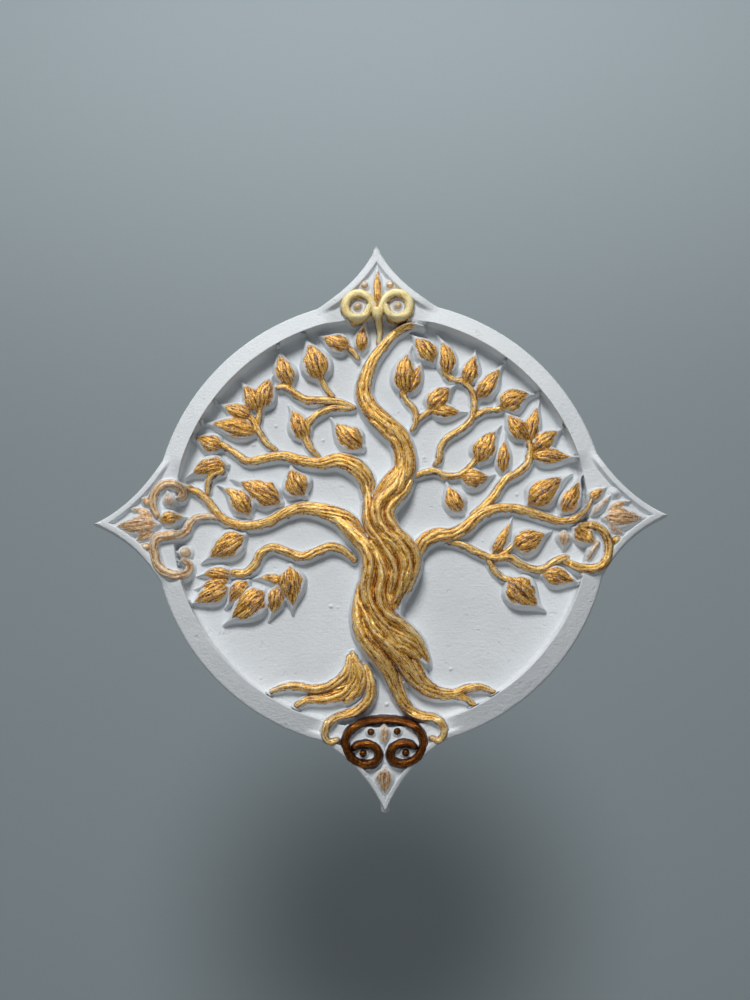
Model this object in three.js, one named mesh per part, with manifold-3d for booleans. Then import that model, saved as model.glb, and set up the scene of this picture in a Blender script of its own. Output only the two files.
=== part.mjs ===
// Tree-of-life wall plaque in white cast clay with a gilded relief: a round rim with four ogee points
// around a low floor, and on the floor a twisted trunk with roots, branches, leaves, scrolls and beads.
// Millimetres, +Z up, front towards -Y. The origin is the middle of the flat back.
import * as THREE from "three";
import { mergeVertices } from "three/addons/utils/BufferGeometryUtils.js";
import Module from "manifold-3d";

const wasm = await Module();
wasm.setup();

// ---------- driving dimensions ----------
const POINT_REACH = 90.3; // centre to the tip of each point
const RIM_R = 71.3; // outside of the round rim
const RIM_INNER_R = 64.2; // foot of the rim's inner wall
const POINT_HALF_WIDTH = 19.5; // where the sides of a point leave the round rim
const POINT_BOW = 2.4; // how far a point's side bows in from its chord
const BORDER = 2.2; // raised border along the sides of a point
const SLAB = 6; // thickness of the slab, and so the height of the floor
const RIM_RISE = 5.7; // rim crest over the floor pieces' foot
const RIM_EDGE_RISE = 3.7; // the same at the rim's outer edge, down the slope of its face
const RIM_LIP = 0.9; // how far the rim's crest lies outside the foot of its inner wall
const EDGE_ROUND = 0.7; // rounding of the rim's outer edge
const TIP_RISE = 2.2; // the same at the tip of a point
const PANEL_DROP = 1.6; // how far the panel inside a point lies below its border
const CLIMB = { from: 60.5, to: 65.5 }; // radii between which the relief climbs from the floor onto a panel
const TRUNK_RISE = 8.7; // the trunk's crest, the highest place of the relief
const SCROLL_RISE = 2.4; // scrolls over what they stand on
const PALMETTE_RISE = 2.6; // leaves over the panel of their point
const BEAD_RISE = 1.8; // beads over their panel
const GAP = 0.3; // joint line between neighbouring pieces
const JOINT_DEG = 0.12; // half of the joint between two quarters of the rim
const FOOT = SLAB + GAP; // height of the underside of every relief piece
const SHOULDER = { top: 13.5, side: 15, bottom: 18 }; // degrees from a point where the full rim ends
const POCKET = { width: 24, height: 15, depth: 2.4, z: 58 }; // hanging recess in the back
const WIRE_R = 0.7; // radius of the hanging wire
const LOOP = { half: 4.6, above: 2.4, below: 4.6, bend: 0.9, lie: 0.95 }; // the wire, about the recess middle

const PLASTER = { color: 0xe3e8ea, roughness: 0.85, metalness: 0 };
const GOLD = { color: 0xb98a3a, roughness: 0.4, metalness: 0.6 };
const BRIGHT_GOLD = { color: 0xdcb552, roughness: 0.35, metalness: 0.6 };
const PALE_GOLD = { color: 0xccb08a, roughness: 0.6, metalness: 0.3 };
const BRONZE = { color: 0x71410f, roughness: 0.4, metalness: 0.6 };
const STEEL = { color: 0x8d9093, roughness: 0.35, metalness: 1 };

const DEG = Math.PI / 180;

// ---------- solids ----------
// The geometry as a solid with its faces out: a bar bent to the far side is turned inside out, so it is
// turned back.
function solid(geometry) {
  const bare = geometry.clone();
  bare.deleteAttribute("normal");
  bare.deleteAttribute("uv");
  const merged = mergeVertices(bare, 1e-4);
  const vertProperties = merged.attributes.position.array;
  const triVerts = new Uint32Array(merged.index.array);
  const made = new wasm.Manifold(new wasm.Mesh({ numProp: 3, vertProperties, triVerts }));
  if (made.volume() > 0) return made;
  triVerts.reverse();
  return new wasm.Manifold(new wasm.Mesh({ numProp: 3, vertProperties, triVerts }));
}

function geometryOf(body) {
  const { vertProperties, triVerts } = body.getMesh();
  const geometry = new THREE.BufferGeometry();
  geometry.setAttribute("position", new THREE.BufferAttribute(vertProperties, 3));
  geometry.setIndex(new THREE.BufferAttribute(triVerts, 1));
  geometry.computeVertexNormals();
  return geometry;
}

const join = (bodies) => bodies.reduce((whole, body) => whole.add(body));

function largest(body) {
  return body.decompose().reduce((best, part) => (part.volume() > best.volume() ? part : best));
}

// A straight bar of the given section, in as many steps as stations - 1, with each corner moved by
// place(u, v, i), where u, v are the section's coordinates and i is the station.
function bentBar(section, stations, place) {
  const shape = new THREE.Shape(section.map(([u, v]) => new THREE.Vector2(u, v)));
  const steps = stations - 1;
  const bar = new THREE.ExtrudeGeometry(shape, { depth: 1, steps, bevelEnabled: false });
  const position = bar.attributes.position;
  for (let i = 0; i < position.count; i++) {
    const station = Math.round(position.getZ(i) * steps);
    position.setXYZ(i, ...place(position.getX(i), position.getY(i), station));
  }
  return bar;
}

// ---------- outline of the plaque ----------
const NOTCH = new THREE.Vector2(Math.sqrt(RIM_R ** 2 - POINT_HALF_WIDTH ** 2), POINT_HALF_WIDTH);
const NOTCH_DEG = Math.asin(POINT_HALF_WIDTH / RIM_R) / DEG;
const TIP = new THREE.Vector2(POINT_REACH, 0);
const HALF_CHORD = NOTCH.distanceTo(TIP) / 2;
const SIDE_R = (HALF_CHORD ** 2 + POINT_BOW ** 2) / (2 * POINT_BOW);
const SIDE_CENTRE = (() => {
  const outward = new THREE.Vector2(NOTCH.y, TIP.x - NOTCH.x).normalize();
  return NOTCH.clone().add(TIP).multiplyScalar(0.5).addScaledVector(outward, SIDE_R - POINT_BOW);
})();

// Distance from the centre to a point's side set in by inset, at an angle of off degrees from the point's
// axis.
function sideReach(off, inset) {
  const along = SIDE_CENTRE.x * Math.cos(off * DEG) + SIDE_CENTRE.y * Math.sin(off * DEG);
  return along - Math.sqrt(along ** 2 - SIDE_CENTRE.lengthSq() + (SIDE_R + inset) ** 2);
}

const outerReach = (off) => (off < NOTCH_DEG ? sideReach(off, 0) : RIM_R);

// Angles from one point's axis to the next point's: close together along the points, 5 degrees apart on
// the rim.
const SIDE_ANGLES = [0, 1, 2.5, 4.5, 6.5, 9, 11.5, 13.5, NOTCH_DEG, 18, 19.5];
const QUARTER_ANGLES = [
  ...SIDE_ANGLES,
  ...[25, 30, 35, 40, 45, 50, 55, 60, 65],
  ...SIDE_ANGLES.map((off) => 90 - off).reverse(),
];
const fromPoint = (angle) => Math.min(angle, 90 - angle);

const polar = (degrees, radius, height) => [
  radius * Math.cos(degrees * DEG),
  -height,
  radius * Math.sin(degrees * DEG),
];

// ---------- slab and rim ----------
function slab() {
  const outline = [0, 90, 180, 270].flatMap((start) =>
    QUARTER_ANGLES.slice(0, -1).map((angle) => {
      const [x, , z] = polar(start + angle, outerReach(fromPoint(angle)), 0);
      return [x, z];
    }),
  );
  return bentBar(outline, 2, (x, z, i) => [x, -SLAB * (1 - i), z]);
}

function pocket() {
  const { width, height, depth, z } = POCKET;
  const cut = new THREE.BoxGeometry(width, 2 * depth, height);
  cut.translate(0, 0, z);
  return cut;
}

const { lerp, smoothstep } = THREE.MathUtils;

// Height of the border's crest over FOOT, at a distance from the centre: lower towards the tips.
const crestRise = (reach) => lerp(RIM_RISE, TIP_RISE, smoothstep(reach, RIM_R, POINT_REACH));
const panelRise = (reach) => crestRise(reach) - PANEL_DROP;

const CREST_R = RIM_INNER_R + RIM_LIP;

// The rim's section from its inner foot outwards and back over its crest: for each corner its place in the
// plain section, then its radius and its rise over FOOT on the round rim and along a point.
const RIM_CORNERS = [
  { u: 0, v: 0, round: () => [RIM_INNER_R, 0], point: () => [RIM_INNER_R, 0] },
  { u: 1, v: 0, round: (off) => [outerReach(off), 0], point: (off) => [outerReach(off), 0] },
  {
    u: 0.99,
    v: 0.3,
    round: (off) => [outerReach(off), 0.5 * RIM_EDGE_RISE],
    point: (off) => [outerReach(off), 0.4 * crestRise(outerReach(off))],
  },
  { u: 0.9, v: 0.6, round: () => onFace(0), point: (off) => onSide(off, 0.45 * BORDER) },
  { u: 0.5, v: 0.8, round: () => onFace(0.35), point: (off) => onSide(off, BORDER) },
  { u: 0.25, v: 0.93, round: () => onFace(0.7), point: (off) => onSide(off, 1.3 * BORDER, PANEL_DROP) },
  { u: 0.1, v: 1, round: () => onFace(1), point: () => [CREST_R, panelRise(CREST_R)] },
];

// A place on the round rim's sloping face: share 0 at its outer edge, 1 at the crest.
function onFace(share) {
  return [lerp(RIM_R - EDGE_ROUND, CREST_R, share), lerp(RIM_EDGE_RISE, RIM_RISE, share)];
}

function onSide(off, inset, drop = 0) {
  const reach = sideReach(Math.min(off, NOTCH_DEG), inset);
  return [reach, crestRise(reach) - drop];
}

// A quarter of the rim from the tip at start degrees to the next tip: the round rim between two shoulders,
// and beyond them the narrow border of a point with half of its panel.
function rim(start, shoulderA, shoulderB, grow) {
  const section = RIM_CORNERS.map(({ u, v }) => [u, v]);
  const last = QUARTER_ANGLES.length - 1;
  return bentBar(section, last + 1, (u, v, i) => {
    const inwards = i === 0 ? 1 : i === last ? -1 : 0;
    const angle = QUARTER_ANGLES[i] + inwards * (JOINT_DEG - grow);
    const off = Math.abs(fromPoint(angle));
    const corner = RIM_CORNERS.find((row) => Math.abs(row.u - u) < 1e-6);
    const [reach, rise] = off < (angle < 45 ? shoulderA : shoulderB) ? corner.point(off) : corner.round(off);
    const aside = u > 0.9 ? grow : u < 0.2 ? -grow : 0;
    return polar(start + angle, reach + aside, FOOT + (v > 0 ? rise + grow : -grow));
  });
}

// Height over FOOT of what the relief stands on: nothing on the floor, and the panel's height inside a
// point.
function ground(x, z) {
  const reach = Math.hypot(x, z);
  const angle = Math.atan2(Math.abs(z), Math.abs(x)) / DEG;
  const shoulder = angle < 45 ? SHOULDER.side : z > 0 ? SHOULDER.top : SHOULDER.bottom;
  const within = 1 - smoothstep(fromPoint(angle), shoulder - 1.5, shoulder + 1.5);
  return within * smoothstep(reach, CLIMB.from, CLIMB.to) * panelRise(reach);
}

// A corner of a relief piece: at height FOOT, or rise over what stands there; grow pushes it outwards.
function raised(x, z, rise, grow) {
  return [x, -(rise > 0 ? FOOT + ground(x, z) + rise + grow : FOOT - grow), z];
}

// ---------- relief ----------
const RIDGE_SECTION = [
  [-1, 0],
  [1, 0],
  [0.8, 0.64],
  [0, 1],
  [-0.8, 0.64],
];

// A ridge of clay, flat below: route is [x, z, half width] from root to end.
const STATIONS_PER_POINT = 1.35;
const ridge = (route, rise = 0) => (grow) => {
  const curve = new THREE.CatmullRomCurve3(
    route.map(([x, z, half]) => new THREE.Vector3(x, z, half)),
    false,
    "centripetal",
  );
  const stations = Math.max(5, Math.round(route.length * STATIONS_PER_POINT));
  return bentBar(RIDGE_SECTION, stations, (u, v, i) => {
    const t = i / (stations - 1);
    const at = curve.getPoint(t);
    const along = curve.getTangent(t).setZ(0).normalize();
    const half = at.z + grow;
    const top = rise || Math.min(1.6 + 1.05 * at.z, TRUNK_RISE);
    const ahead = i === 0 ? -grow : i === stations - 1 ? grow : 0;
    const x = at.x + u * half * along.y + ahead * along.x;
    const z = at.y - u * half * along.x + ahead * along.y;
    return raised(x, z, v * top, grow);
  });
};

// A leaf from base to tip, flat below and domed above, widest near its base; bow moves its middle to the
// right of the way from base to tip.
const LEAF_STATIONS = [
  [0, 0.3, 0.6],
  [0.16, 0.82, 0.9],
  [0.36, 1, 1],
  [0.6, 0.78, 0.9],
  [0.82, 0.4, 0.65],
  [1, 0.06, 0.3],
];
const leaf = (tip, base, width, bow = 0, rise = 1.7 + 0.3 * width) => (grow) => {
  const length = Math.hypot(tip[0] - base[0], tip[1] - base[1]);
  const along = [(tip[0] - base[0]) / length, (tip[1] - base[1]) / length];
  return bentBar(RIDGE_SECTION, LEAF_STATIONS.length, (u, v, i) => {
    const [t, share, lift] = LEAF_STATIONS[i];
    const ahead = t * length + (i === 0 ? -grow : t === 1 ? grow : 0);
    const side = u * (share * width * 0.5 + grow) + bow * 4 * t * (1 - t);
    const x = base[0] + ahead * along[0] + side * along[1];
    const z = base[1] + ahead * along[1] - side * along[0];
    return raised(x, z, v * lift * rise, grow);
  });
};

// A round bead, flat below.
const bead = (x, z, radius, rise) => (grow) => {
  const ball = new THREE.SphereGeometry(1, 8, 6);
  const position = ball.attributes.position;
  for (let i = 0; i < position.count; i++) {
    const up = position.getY(i) > 1e-6 ? position.getY(i) : 0;
    const cornerX = x + position.getX(i) * (radius + grow);
    const cornerZ = z - position.getZ(i) * (radius + grow);
    const corner = raised(cornerX, cornerZ, up * rise, grow);
    const belly = Math.min(position.getY(i), 0) * 0.02;
    position.setXYZ(i, corner[0], corner[1] - belly, corner[2]);
  }
  return ball;
};

const mirror = (route) => route.map(([x, z, half]) => [-x, z, half]);

// Each piece is what one name covers: its shapes are joined, and it is cut back from the pieces before it.
const TRUNK = {
  trunk: [
    ridge(
      [
        [-0.7, 3.4, 4],
        [0.3, -3, 5.2],
        [2, -8.5, 7.4],
        [2.5, -14, 8.4],
        [1.8, -20, 8.2],
        [-0.6, -26, 7.5],
        [-1, -31, 7.9],
        [1.2, -37, 9],
        [5, -42.5, 8.8],
        [7.5, -46.5, 7.4],
      ],
      TRUNK_RISE,
    ),
  ],
  leader: [
    ridge([
      [-0.5, 4.2, 3.4],
      [3.2, 10.2, 3.8],
      [7.5, 15.2, 3.8],
      [7.7, 20.5, 3.6],
      [5.8, 26, 3.6],
      [1.1, 30.9, 3.5],
      [-3.1, 35.9, 3],
      [-4.8, 41, 2.6],
      [-4, 46, 2.3],
      [-1.7, 51.4, 1.9],
      [2, 56.5, 1.6],
      [5.9, 60.5, 1.3],
      [10.5, 62.2, 1],
      [14.5, 61.8, 0.6],
    ]),
  ],
};

const ROOTS = {
  root_right_outer: [
    ridge([
      [7.4, -44.5, 3.6],
      [9.5, -48, 3.4],
      [12, -51.8, 2.9],
      [16.5, -54.3, 2.2],
      [21.5, -54.7, 1.6],
      [26, -53.2, 1.3],
      [30, -52.9, 1.1],
      [34, -54.2, 0.6],
    ]),
    ridge([
      [20.5, -55, 1.2],
      [25.5, -56.3, 1],
      [27.4, -58, 0.8],
    ]),
  ],
  root_right_curl: [
    ridge([
      [3, -45.5, 2.4],
      [3.4, -49, 2.4],
      [4.6, -54, 2.2],
      [7, -58.5, 1.8],
      [11, -61.2, 1.5],
      [15.2, -62, 1.4],
      [17.8, -64.3, 1.2],
      [18.1, -67, 1.1],
      [16.6, -69, 1],
      [14.4, -68.2, 0.9],
    ]),
  ],
  root_left_outer: [
    ridge([
      [-10.2, -43, 1],
      [-11.4, -47.5, 1.5],
      [-15.5, -51.3, 1.5],
      [-21, -52.7, 1.4],
      [-26, -51.8, 1.3],
      [-30, -51.7, 1.1],
      [-34.5, -53.1, 0.6],
    ]),
  ],
  root_left_spur: [
    ridge([
      [-7.8, -44.5, 1.1],
      [-8.7, -50, 1.5],
      [-12.5, -54.4, 1.5],
      [-18, -55.9, 1.4],
      [-23.3, -55.9, 1.2],
      [-26.6, -57.4, 0.9],
    ]),
  ],
  root_left_curl: [
    ridge([
      [-5.3, -46, 1],
      [-3.8, -51, 1.6],
      [-4.6, -56, 1.7],
      [-8.8, -59.7, 1.5],
      [-14, -61.2, 1.3],
      [-17.2, -63.5, 1.2],
      [-18.1, -67, 1.1],
      [-16.6, -69, 1],
      [-14.4, -68.4, 0.9],
    ]),
  ],
};

const BRANCHES = {
  branch_upper_left: [
    ridge([
      [-3.9, 7.5, 2],
      [-4.3, 12.1, 2.8],
      [-7.7, 16.6, 3],
      [-13, 18.9, 2.6],
      [-19, 18.1, 1.9],
      [-25, 19.2, 1.8],
      [-31, 20.9, 1.6],
      [-37, 20, 1.4],
      [-42, 19.4, 1.2],
      [-45.9, 22.1, 1.1],
      [-49.9, 24.8, 1],
    ]),
    leaf([-59.2, 27.3], [-49.7, 23.8], 6),
  ],
  branch_middle_left: [
    ridge([
      [-6.8, -5.6, 2.6],
      [-9.5, -1.8, 3.2],
      [-13.7, 1.1, 3],
      [-19.2, 3.1, 2.4],
      [-24.9, 3.9, 2],
      [-29.8, 2.5, 1.8],
      [-35.9, -0.5, 1.6],
      [-42, -1.4, 1.5],
      [-47.2, -0.4, 1.4],
      [-50.8, 2.1, 1.3],
      [-54.1, 6.4, 1.2],
      [-57.5, 9.5, 1.1],
      [-60.5, 11, 1],
    ]),
  ],
  branch_lower_left: [
    ridge([
      [-8.6, -12.6, 1],
      [-12.6, -9.3, 1.4],
      [-16, -8.5, 1.5],
      [-20.2, -10, 1.5],
      [-25, -11.5, 1.5],
      [-30.1, -9.6, 1.4],
      [-34, -8.4, 1.4],
      [-37.6, -10.1, 1.4],
      [-39.5, -13.7, 1.4],
      [-42.4, -16.3, 1.3],
      [-46, -16.3, 1.3],
    ]),
  ],
  branch_right: [
    ridge([
      [11.6, -10.8, 1.8],
      [13.2, -7.6, 2.4],
      [17.2, -5.5, 2.4],
      [22.1, -5.3, 2.2],
      [26.2, -3.3, 2.1],
      [30.1, 0.1, 1.9],
      [34, 2.2, 1.7],
      [40, 3, 1.5],
      [46, 1.9, 1.5],
      [51, 0.1, 1.4],
      [56, -1.4, 1.3],
      [60, -1.2, 1.2],
      [63.2, 0.6, 0.9],
      [65, 2.6, 0.7],
      [66, 4.8, 0.5],
    ]),
  ],
  branch_right_fork: [
    ridge([
      [29.2, 1, 1.1],
      [32.6, 3.7, 1.4],
      [36.1, 7.3, 1.4],
      [37.7, 10, 1.3],
      [39.8, 12.3, 1.3],
      [43.6, 14.3, 1.3],
      [46.9, 17.6, 1.2],
      [47.7, 21.5, 1.1],
      [47.3, 24.5, 0.8],
    ]),
    leaf([40.1, 34.1], [46.4, 24.9], 6),
    leaf([50.9, 36.8], [46.7, 23.8], 5),
    leaf([58.1, 28.3], [48.5, 21.1], 5.4, -0.4),
    leaf([61.9, 18.3], [47.7, 19.1], 5.4, -0.6),
  ],
  branch_right_low: [
    ridge([
      [19.6, -7, 0.8],
      [25.1, -8.4, 1.1],
      [30.1, -11, 1.2],
      [34, -12.7, 1.2],
      [40, -12.8, 1.2],
      [43.5, -15, 1.2],
      [47, -16.5, 1.2],
      [50.7, -16.4, 1.2],
      [54.3, -14.1, 1.2],
      [57.4, -13.1, 1.2],
    ]),
    ridge([
      [36.7, -12.3, 0.9],
      [39.5, -10.6, 0.9],
      [41.1, -9, 0.8],
    ]),
    leaf([41.1, -0.4], [34.7, -11.6], 3.8, 0.4),
  ],
  branch_right_small: [
    ridge([
      [11.1, 13.8, 0.9],
      [14, 14.8, 1],
      [17, 15.3, 1],
      [21, 13.7, 1],
      [24.9, 13.8, 1],
      [27.9, 15.9, 1],
      [30.5, 18.7, 1],
    ]),
    leaf([37.9, 29], [31.1, 17.6], 7.2, -0.6),
    leaf([35.4, 13.6], [25.6, 13], 6.2, 0.8),
  ],
};

const SCROLL_TOP = [
  [0.6, 65.4, 1.1],
  [1.4, 68.6, 1.2],
  [3, 71.5, 1.3],
  [5.5, 72.9, 1.4],
  [8.2, 72.3, 1.4],
  [10.1, 70, 1.4],
  [10.1, 67.2, 1.4],
  [8.2, 65.1, 1.4],
  [5.5, 64.7, 1.4],
  [3.4, 66.2, 1.3],
  [2.7, 68.4, 1],
];
const SCROLL_BOTTOM = [
  [9.2, -70.5, 0.8],
  [8, -69.9, 1],
  [6.2, -69.6, 1.15],
  [4, -69.9, 1.15],
  [2.4, -71, 1.15],
  [1.7, -72.7, 1.15],
  [2.2, -74.4, 1.15],
  [3.8, -75.5, 1.15],
  [6, -75.8, 1.15],
  [8.4, -75, 1.15],
  [10.4, -73.3, 1.15],
  [11.6, -71.2, 1.15],
  [11.9, -69, 1.15],
  [11.3, -66.9, 1.15],
  [9.8, -65, 1.15],
  [7.6, -63.6, 1.15],
  [4.8, -62.6, 1.15],
  [2, -62.2, 1.15],
  [-0.5, -62.15, 1.15],
];

const SCROLLS = {
  scroll_top: [
    ridge([
      [0.2, 57.4, 0.5],
      [0.6, 60.5, 0.8],
      [0.3, 63.4, 1.1],
      [0, 66.9, 1.2],
    ]),
    ridge(SCROLL_TOP, SCROLL_RISE),
    ridge(mirror(SCROLL_TOP), SCROLL_RISE),
  ],
  scroll_bottom: [ridge(SCROLL_BOTTOM, SCROLL_RISE), ridge(mirror(SCROLL_BOTTOM), SCROLL_RISE)],
  scroll_left_upper: [
    ridge([
      [-69.8, 1.8, 1.1],
      [-71.1, 5, 1.4],
      [-70.6, 8.8, 1.45],
      [-68.4, 11.2, 1.45],
      [-65.5, 11.8, 1.4],
      [-62.8, 10.7, 1.35],
      [-61.9, 8.8, 1.3],
      [-62.8, 7.4, 1.1],
    ], SCROLL_RISE),
    leaf([-75.2, 7.8], [-71.4, 5], 3, 0, SCROLL_RISE),
  ],
  scroll_left_lower: [
    ridge([
      [-50.5, 1.2, 0.8],
      [-54.5, 1.8, 1],
      [-58, 1.4, 1.2],
      [-60, -0.4, 1.3],
      [-61, -2.9, 1.35],
      [-63.6, -4.3, 1.45],
      [-66.6, -4.8, 1.5],
      [-69.4, -5.5, 1.5],
      [-70.7, -8, 1.5],
      [-70.3, -11.2, 1.5],
      [-69.2, -14.3, 1.5],
      [-66.4, -16.5, 1.45],
      [-62.9, -17.1, 1.4],
      [-60.2, -15.9, 1.3],
      [-60, -13.7, 1.2],
      [-61.6, -12.2, 1],
    ], SCROLL_RISE),
    bead(-73.4, -8.2, 1.6, BEAD_RISE),
  ],
  scroll_right: [
    ridge([
      [57.2, -13.9, 1.15],
      [59.3, -15.2, 1.3],
      [61.9, -16.7, 1.4],
      [65.1, -17.2, 1.4],
      [68.5, -16, 1.4],
      [70.4, -12.9, 1.4],
      [70.6, -8.8, 1.4],
      [69, -5.5, 1.35],
      [66.2, -3.6, 1.25],
      [62.6, -3.4, 1.15],
    ], SCROLL_RISE),
    bead(73.2, -8.3, 1.6, BEAD_RISE),
    leaf([67, -10], [60.6, -3.6], 5, 0, SCROLL_RISE),
  ],
};

const POINT_ORNAMENTS = {
  palmette_left: [
    leaf([-84.2, -1.3], [-69.4, -1.1], 6.2, 0, PALMETTE_RISE),
    leaf([-79.2, 4.6], [-71, 1], 2.8, 0.3, 0.7 * PALMETTE_RISE),
    leaf([-77.6, -6.4], [-70.6, -3.2], 2.8, -0.3, 0.7 * PALMETTE_RISE),
  ],
  palmette_right: [
    leaf([84, -1.2], [69.4, -1.2], 6.2, 0, PALMETTE_RISE),
    leaf([78.6, 4.4], [70.8, 0.8], 2.6, -0.3, 0.7 * PALMETTE_RISE),
    leaf([76.2, -6.6], [70.8, -3.2], 2.6, 0.3, 0.7 * PALMETTE_RISE),
  ],
  leaf_point_left: [leaf([-61.3, 1.7], [-69.1, 0.3], 4.4, 0, PALMETTE_RISE)],
  spear_top: [leaf([0.1, 82.9], [0, 68.8], 2.8, 0, 0.8 * PALMETTE_RISE)],
  leaf_bottom: [leaf([-0.2, -85.4], [-0.2, -77], 5.2, 0, 0.8 * PALMETTE_RISE)],
};

const BEADS = {
  eye_top_left: [bead(-6.4, 68.8, 1.4, BEAD_RISE)],
  eye_top_right: [bead(6.4, 68.8, 1.4, BEAD_RISE)],
  eye_bottom_left: [bead(-6.5, -72.4, 1.1, BEAD_RISE)],
  eye_bottom_right: [bead(6.5, -72.4, 1.1, BEAD_RISE)],
  bead_top_left: [bead(-4.1, 76, 1.4, BEAD_RISE)],
  bead_top_right: [bead(4.1, 76, 1.4, BEAD_RISE)],
};

const SPRIGS = {
  sprig_crown_left: [
    ridge([
      [-6.6, 52.4, 0.8],
      [-7.8, 54.4, 0.9],
      [-9.6, 56, 0.8],
    ]),
    leaf([-18.6, 59.8], [-8.8, 56.2], 6, -0.4),
  ],
  sprig_top_left: [
    ridge([
      [-8.2, 36.2, 0.9],
      [-12.2, 37.9, 1.2],
      [-17, 38.7, 1.3],
      [-23.1, 39, 1.3],
      [-27.1, 41.3, 1.2],
      [-29.7, 43.2, 1.1],
      [-32.1, 43.2, 0.9],
    ]),
    ridge([
      [-14.9, 40.1, 0.8],
      [-17.1, 43.1, 0.9],
      [-18.2, 45.9, 0.9],
    ]),
    leaf([-23.2, 58.9], [-18.4, 45.1], 8.6, 0.4),
    leaf([-31.7, 55.4], [-27.8, 43.8], 6.4, -0.6),
  ],
  sprig_hook: [
    ridge([
      [-19.6, 20.6, 0.8],
      [-21.9, 23.2, 1.2],
      [-23.4, 27, 1.2],
      [-22.6, 31, 1.2],
      [-19.4, 34.2, 1.2],
      [-14.5, 36.1, 1.1],
      [-8.9, 36, 0.8],
    ]),
    leaf([-28.3, 36.7], [-23.9, 25.7], 6.4, 0.4),
  ],
  sprig_fork_left: [
    ridge([
      [-32.9, 22.8, 0.8],
      [-35.8, 25.1, 1],
      [-38.5, 29.4, 1.1],
      [-40, 32.5, 1],
      [-41.8, 34.2, 0.9],
    ]),
    ridge([
      [-38.8, 30.5, 0.8],
      [-38.3, 33.5, 0.9],
      [-38, 36.5, 0.9],
    ]),
    leaf([-43.6, 44.9], [-38.3, 35.5], 5.8, 0.4),
    leaf([-33.9, 47.2], [-37.7, 35.8], 7, -0.6),
    leaf([-50.8, 38], [-40.4, 33.6], 5.2),
    leaf([-55.2, 31.8], [-39, 28.4], 6.4, 0.5),
  ],
  sprig_curl_left: [
    ridge([
      [-54.5, 9.3, 0.8],
      [-54.3, 12.7, 1],
      [-52.8, 15.2, 1.1],
      [-50.3, 16.3, 1.4],
    ]),
    leaf([-60.6, 14.6], [-48.6, 18.2], 6, 1.2),
  ],
  sprig_centre: [
    ridge([
      [10.5, 28.8, 0.7],
      [11.7, 31.2, 1],
      [11.3, 35, 1],
      [9.1, 37.9, 1],
      [7.4, 40.6, 0.9],
    ]),
    ridge([
      [12, 31.4, 0.7],
      [14.8, 33.9, 0.9],
      [17.1, 35.1, 0.9],
    ]),
    leaf([10.4, 55.7], [8.7, 40.1], 7.2, -1.2),
    leaf([13.8, 51.5], [8.4, 40.3], 4.8, 0.6),
    leaf([24.2, 43], [15.8, 34.8], 6.6, -0.6),
    leaf([27.3, 34.3], [16.3, 35.7], 5, 0.6),
  ],
  sprig_tall_right: [
    ridge([
      [17.5, 17.3, 0.7],
      [18.7, 19, 1],
      [19.2, 22.4, 1],
      [21.4, 25.8, 1.1],
      [25.9, 28.6, 1.1],
      [29.2, 31.6, 1.1],
      [30.4, 36, 1.1],
      [29.9, 40.4, 1],
      [27.5, 43.7, 1],
      [24.1, 44.8, 1],
      [21.3, 46.9, 0.9],
    ]),
    ridge([
      [30.4, 32.6, 0.9],
      [33.6, 34.5, 0.9],
      [37.5, 34.8, 0.9],
      [40, 35.4, 0.7],
    ]),
    leaf([19.7, 59], [21.5, 45.8], 5.6, 1.4),
    leaf([31.2, 54.1], [27.6, 43.1], 5.6, 0.4),
    leaf([39.5, 49.2], [31.7, 38.4], 6),
    leaf([49.5, 39.6], [38.5, 34.8], 7.4, -1.2),
  ],
};

const LEAVES = {
  leaf_crown: [leaf([-4, 64.1], [-5.4, 54.3], 4.4, -0.4)],
  leaf_crown_right: [leaf([11.1, 59.8], [17.7, 50.6], 6.8, 0.4)],
  leaf_hook: [leaf([-14.9, 32.4], [-5.4, 23.2], 7.6, -0.6)],
  leaf_left_inner: [leaf([-28.1, 17.5], [-23.9, 7.9], 8.4, -0.8)],
  leaves_left_pair: [leaf([-50.2, 11.4], [-41.4, 1.8], 6.6, 1.2), leaf([-45.8, 13.3], [-31.6, 5.7], 8, 0.4)],
  leaf_left_low: [leaf([-55.2, -12.2], [-43, -4.4], 8)],
  leaves_left_corner: [
    leaf([-57, -16.8], [-46.6, -17.2], 4.4, 0.8),
    leaf([-57.6, -20.8], [-47.6, -18.4], 3.6),
    leaf([-59.6, -25.8], [-48, -20.6], 6.2),
  ],
  leaf_left_drop: [leaf([-48.4, -26.6], [-41.8, -19], 6)],
  sprig_drooping: [
    leaf([-48.2, -31.6], [-36.6, -22], 8.6, -0.4),
    leaf([-39.8, -18], [-29.4, -20.6], 3, 1.2),
    leaf([-35, -30.6], [-32.6, -20.6], 5.4, -0.4),
    leaf([-27.9, -28.2], [-28.6, -14.6], 7.8),
  ],
  bud_right: [leaf([39.7, 26.6], [38.7, 14], 4.4)],
  leaf_centre_right: [leaf([21.1, 11.2], [25.6, 2], 6, -0.6)],
  leaf_right_wide: [leaf([59.3, 13], [46.3, 4], 8.2, -0.4)],
  leaf_right_outer: [leaf([62.9, 12], [56.9, 1.2], 5.6, 0.4)],
  leaf_right_cup: [leaf([52.6, -4.9], [41, -9.3], 7.4, 0.2)],
  leaf_right_low: [leaf([61.2, -21.2], [50, -18.4], 6, -0.6)],
  sprig_drop_right: [
    ridge([
      [33.4, -13.4, 0.8],
      [35.1, -16.6, 1],
      [37.6, -19, 1],
      [40.8, -20.2, 1],
    ]),
    leaf([49.7, -28.9], [39.7, -19.3], 9.4, 0.6),
  ],
};

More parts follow.
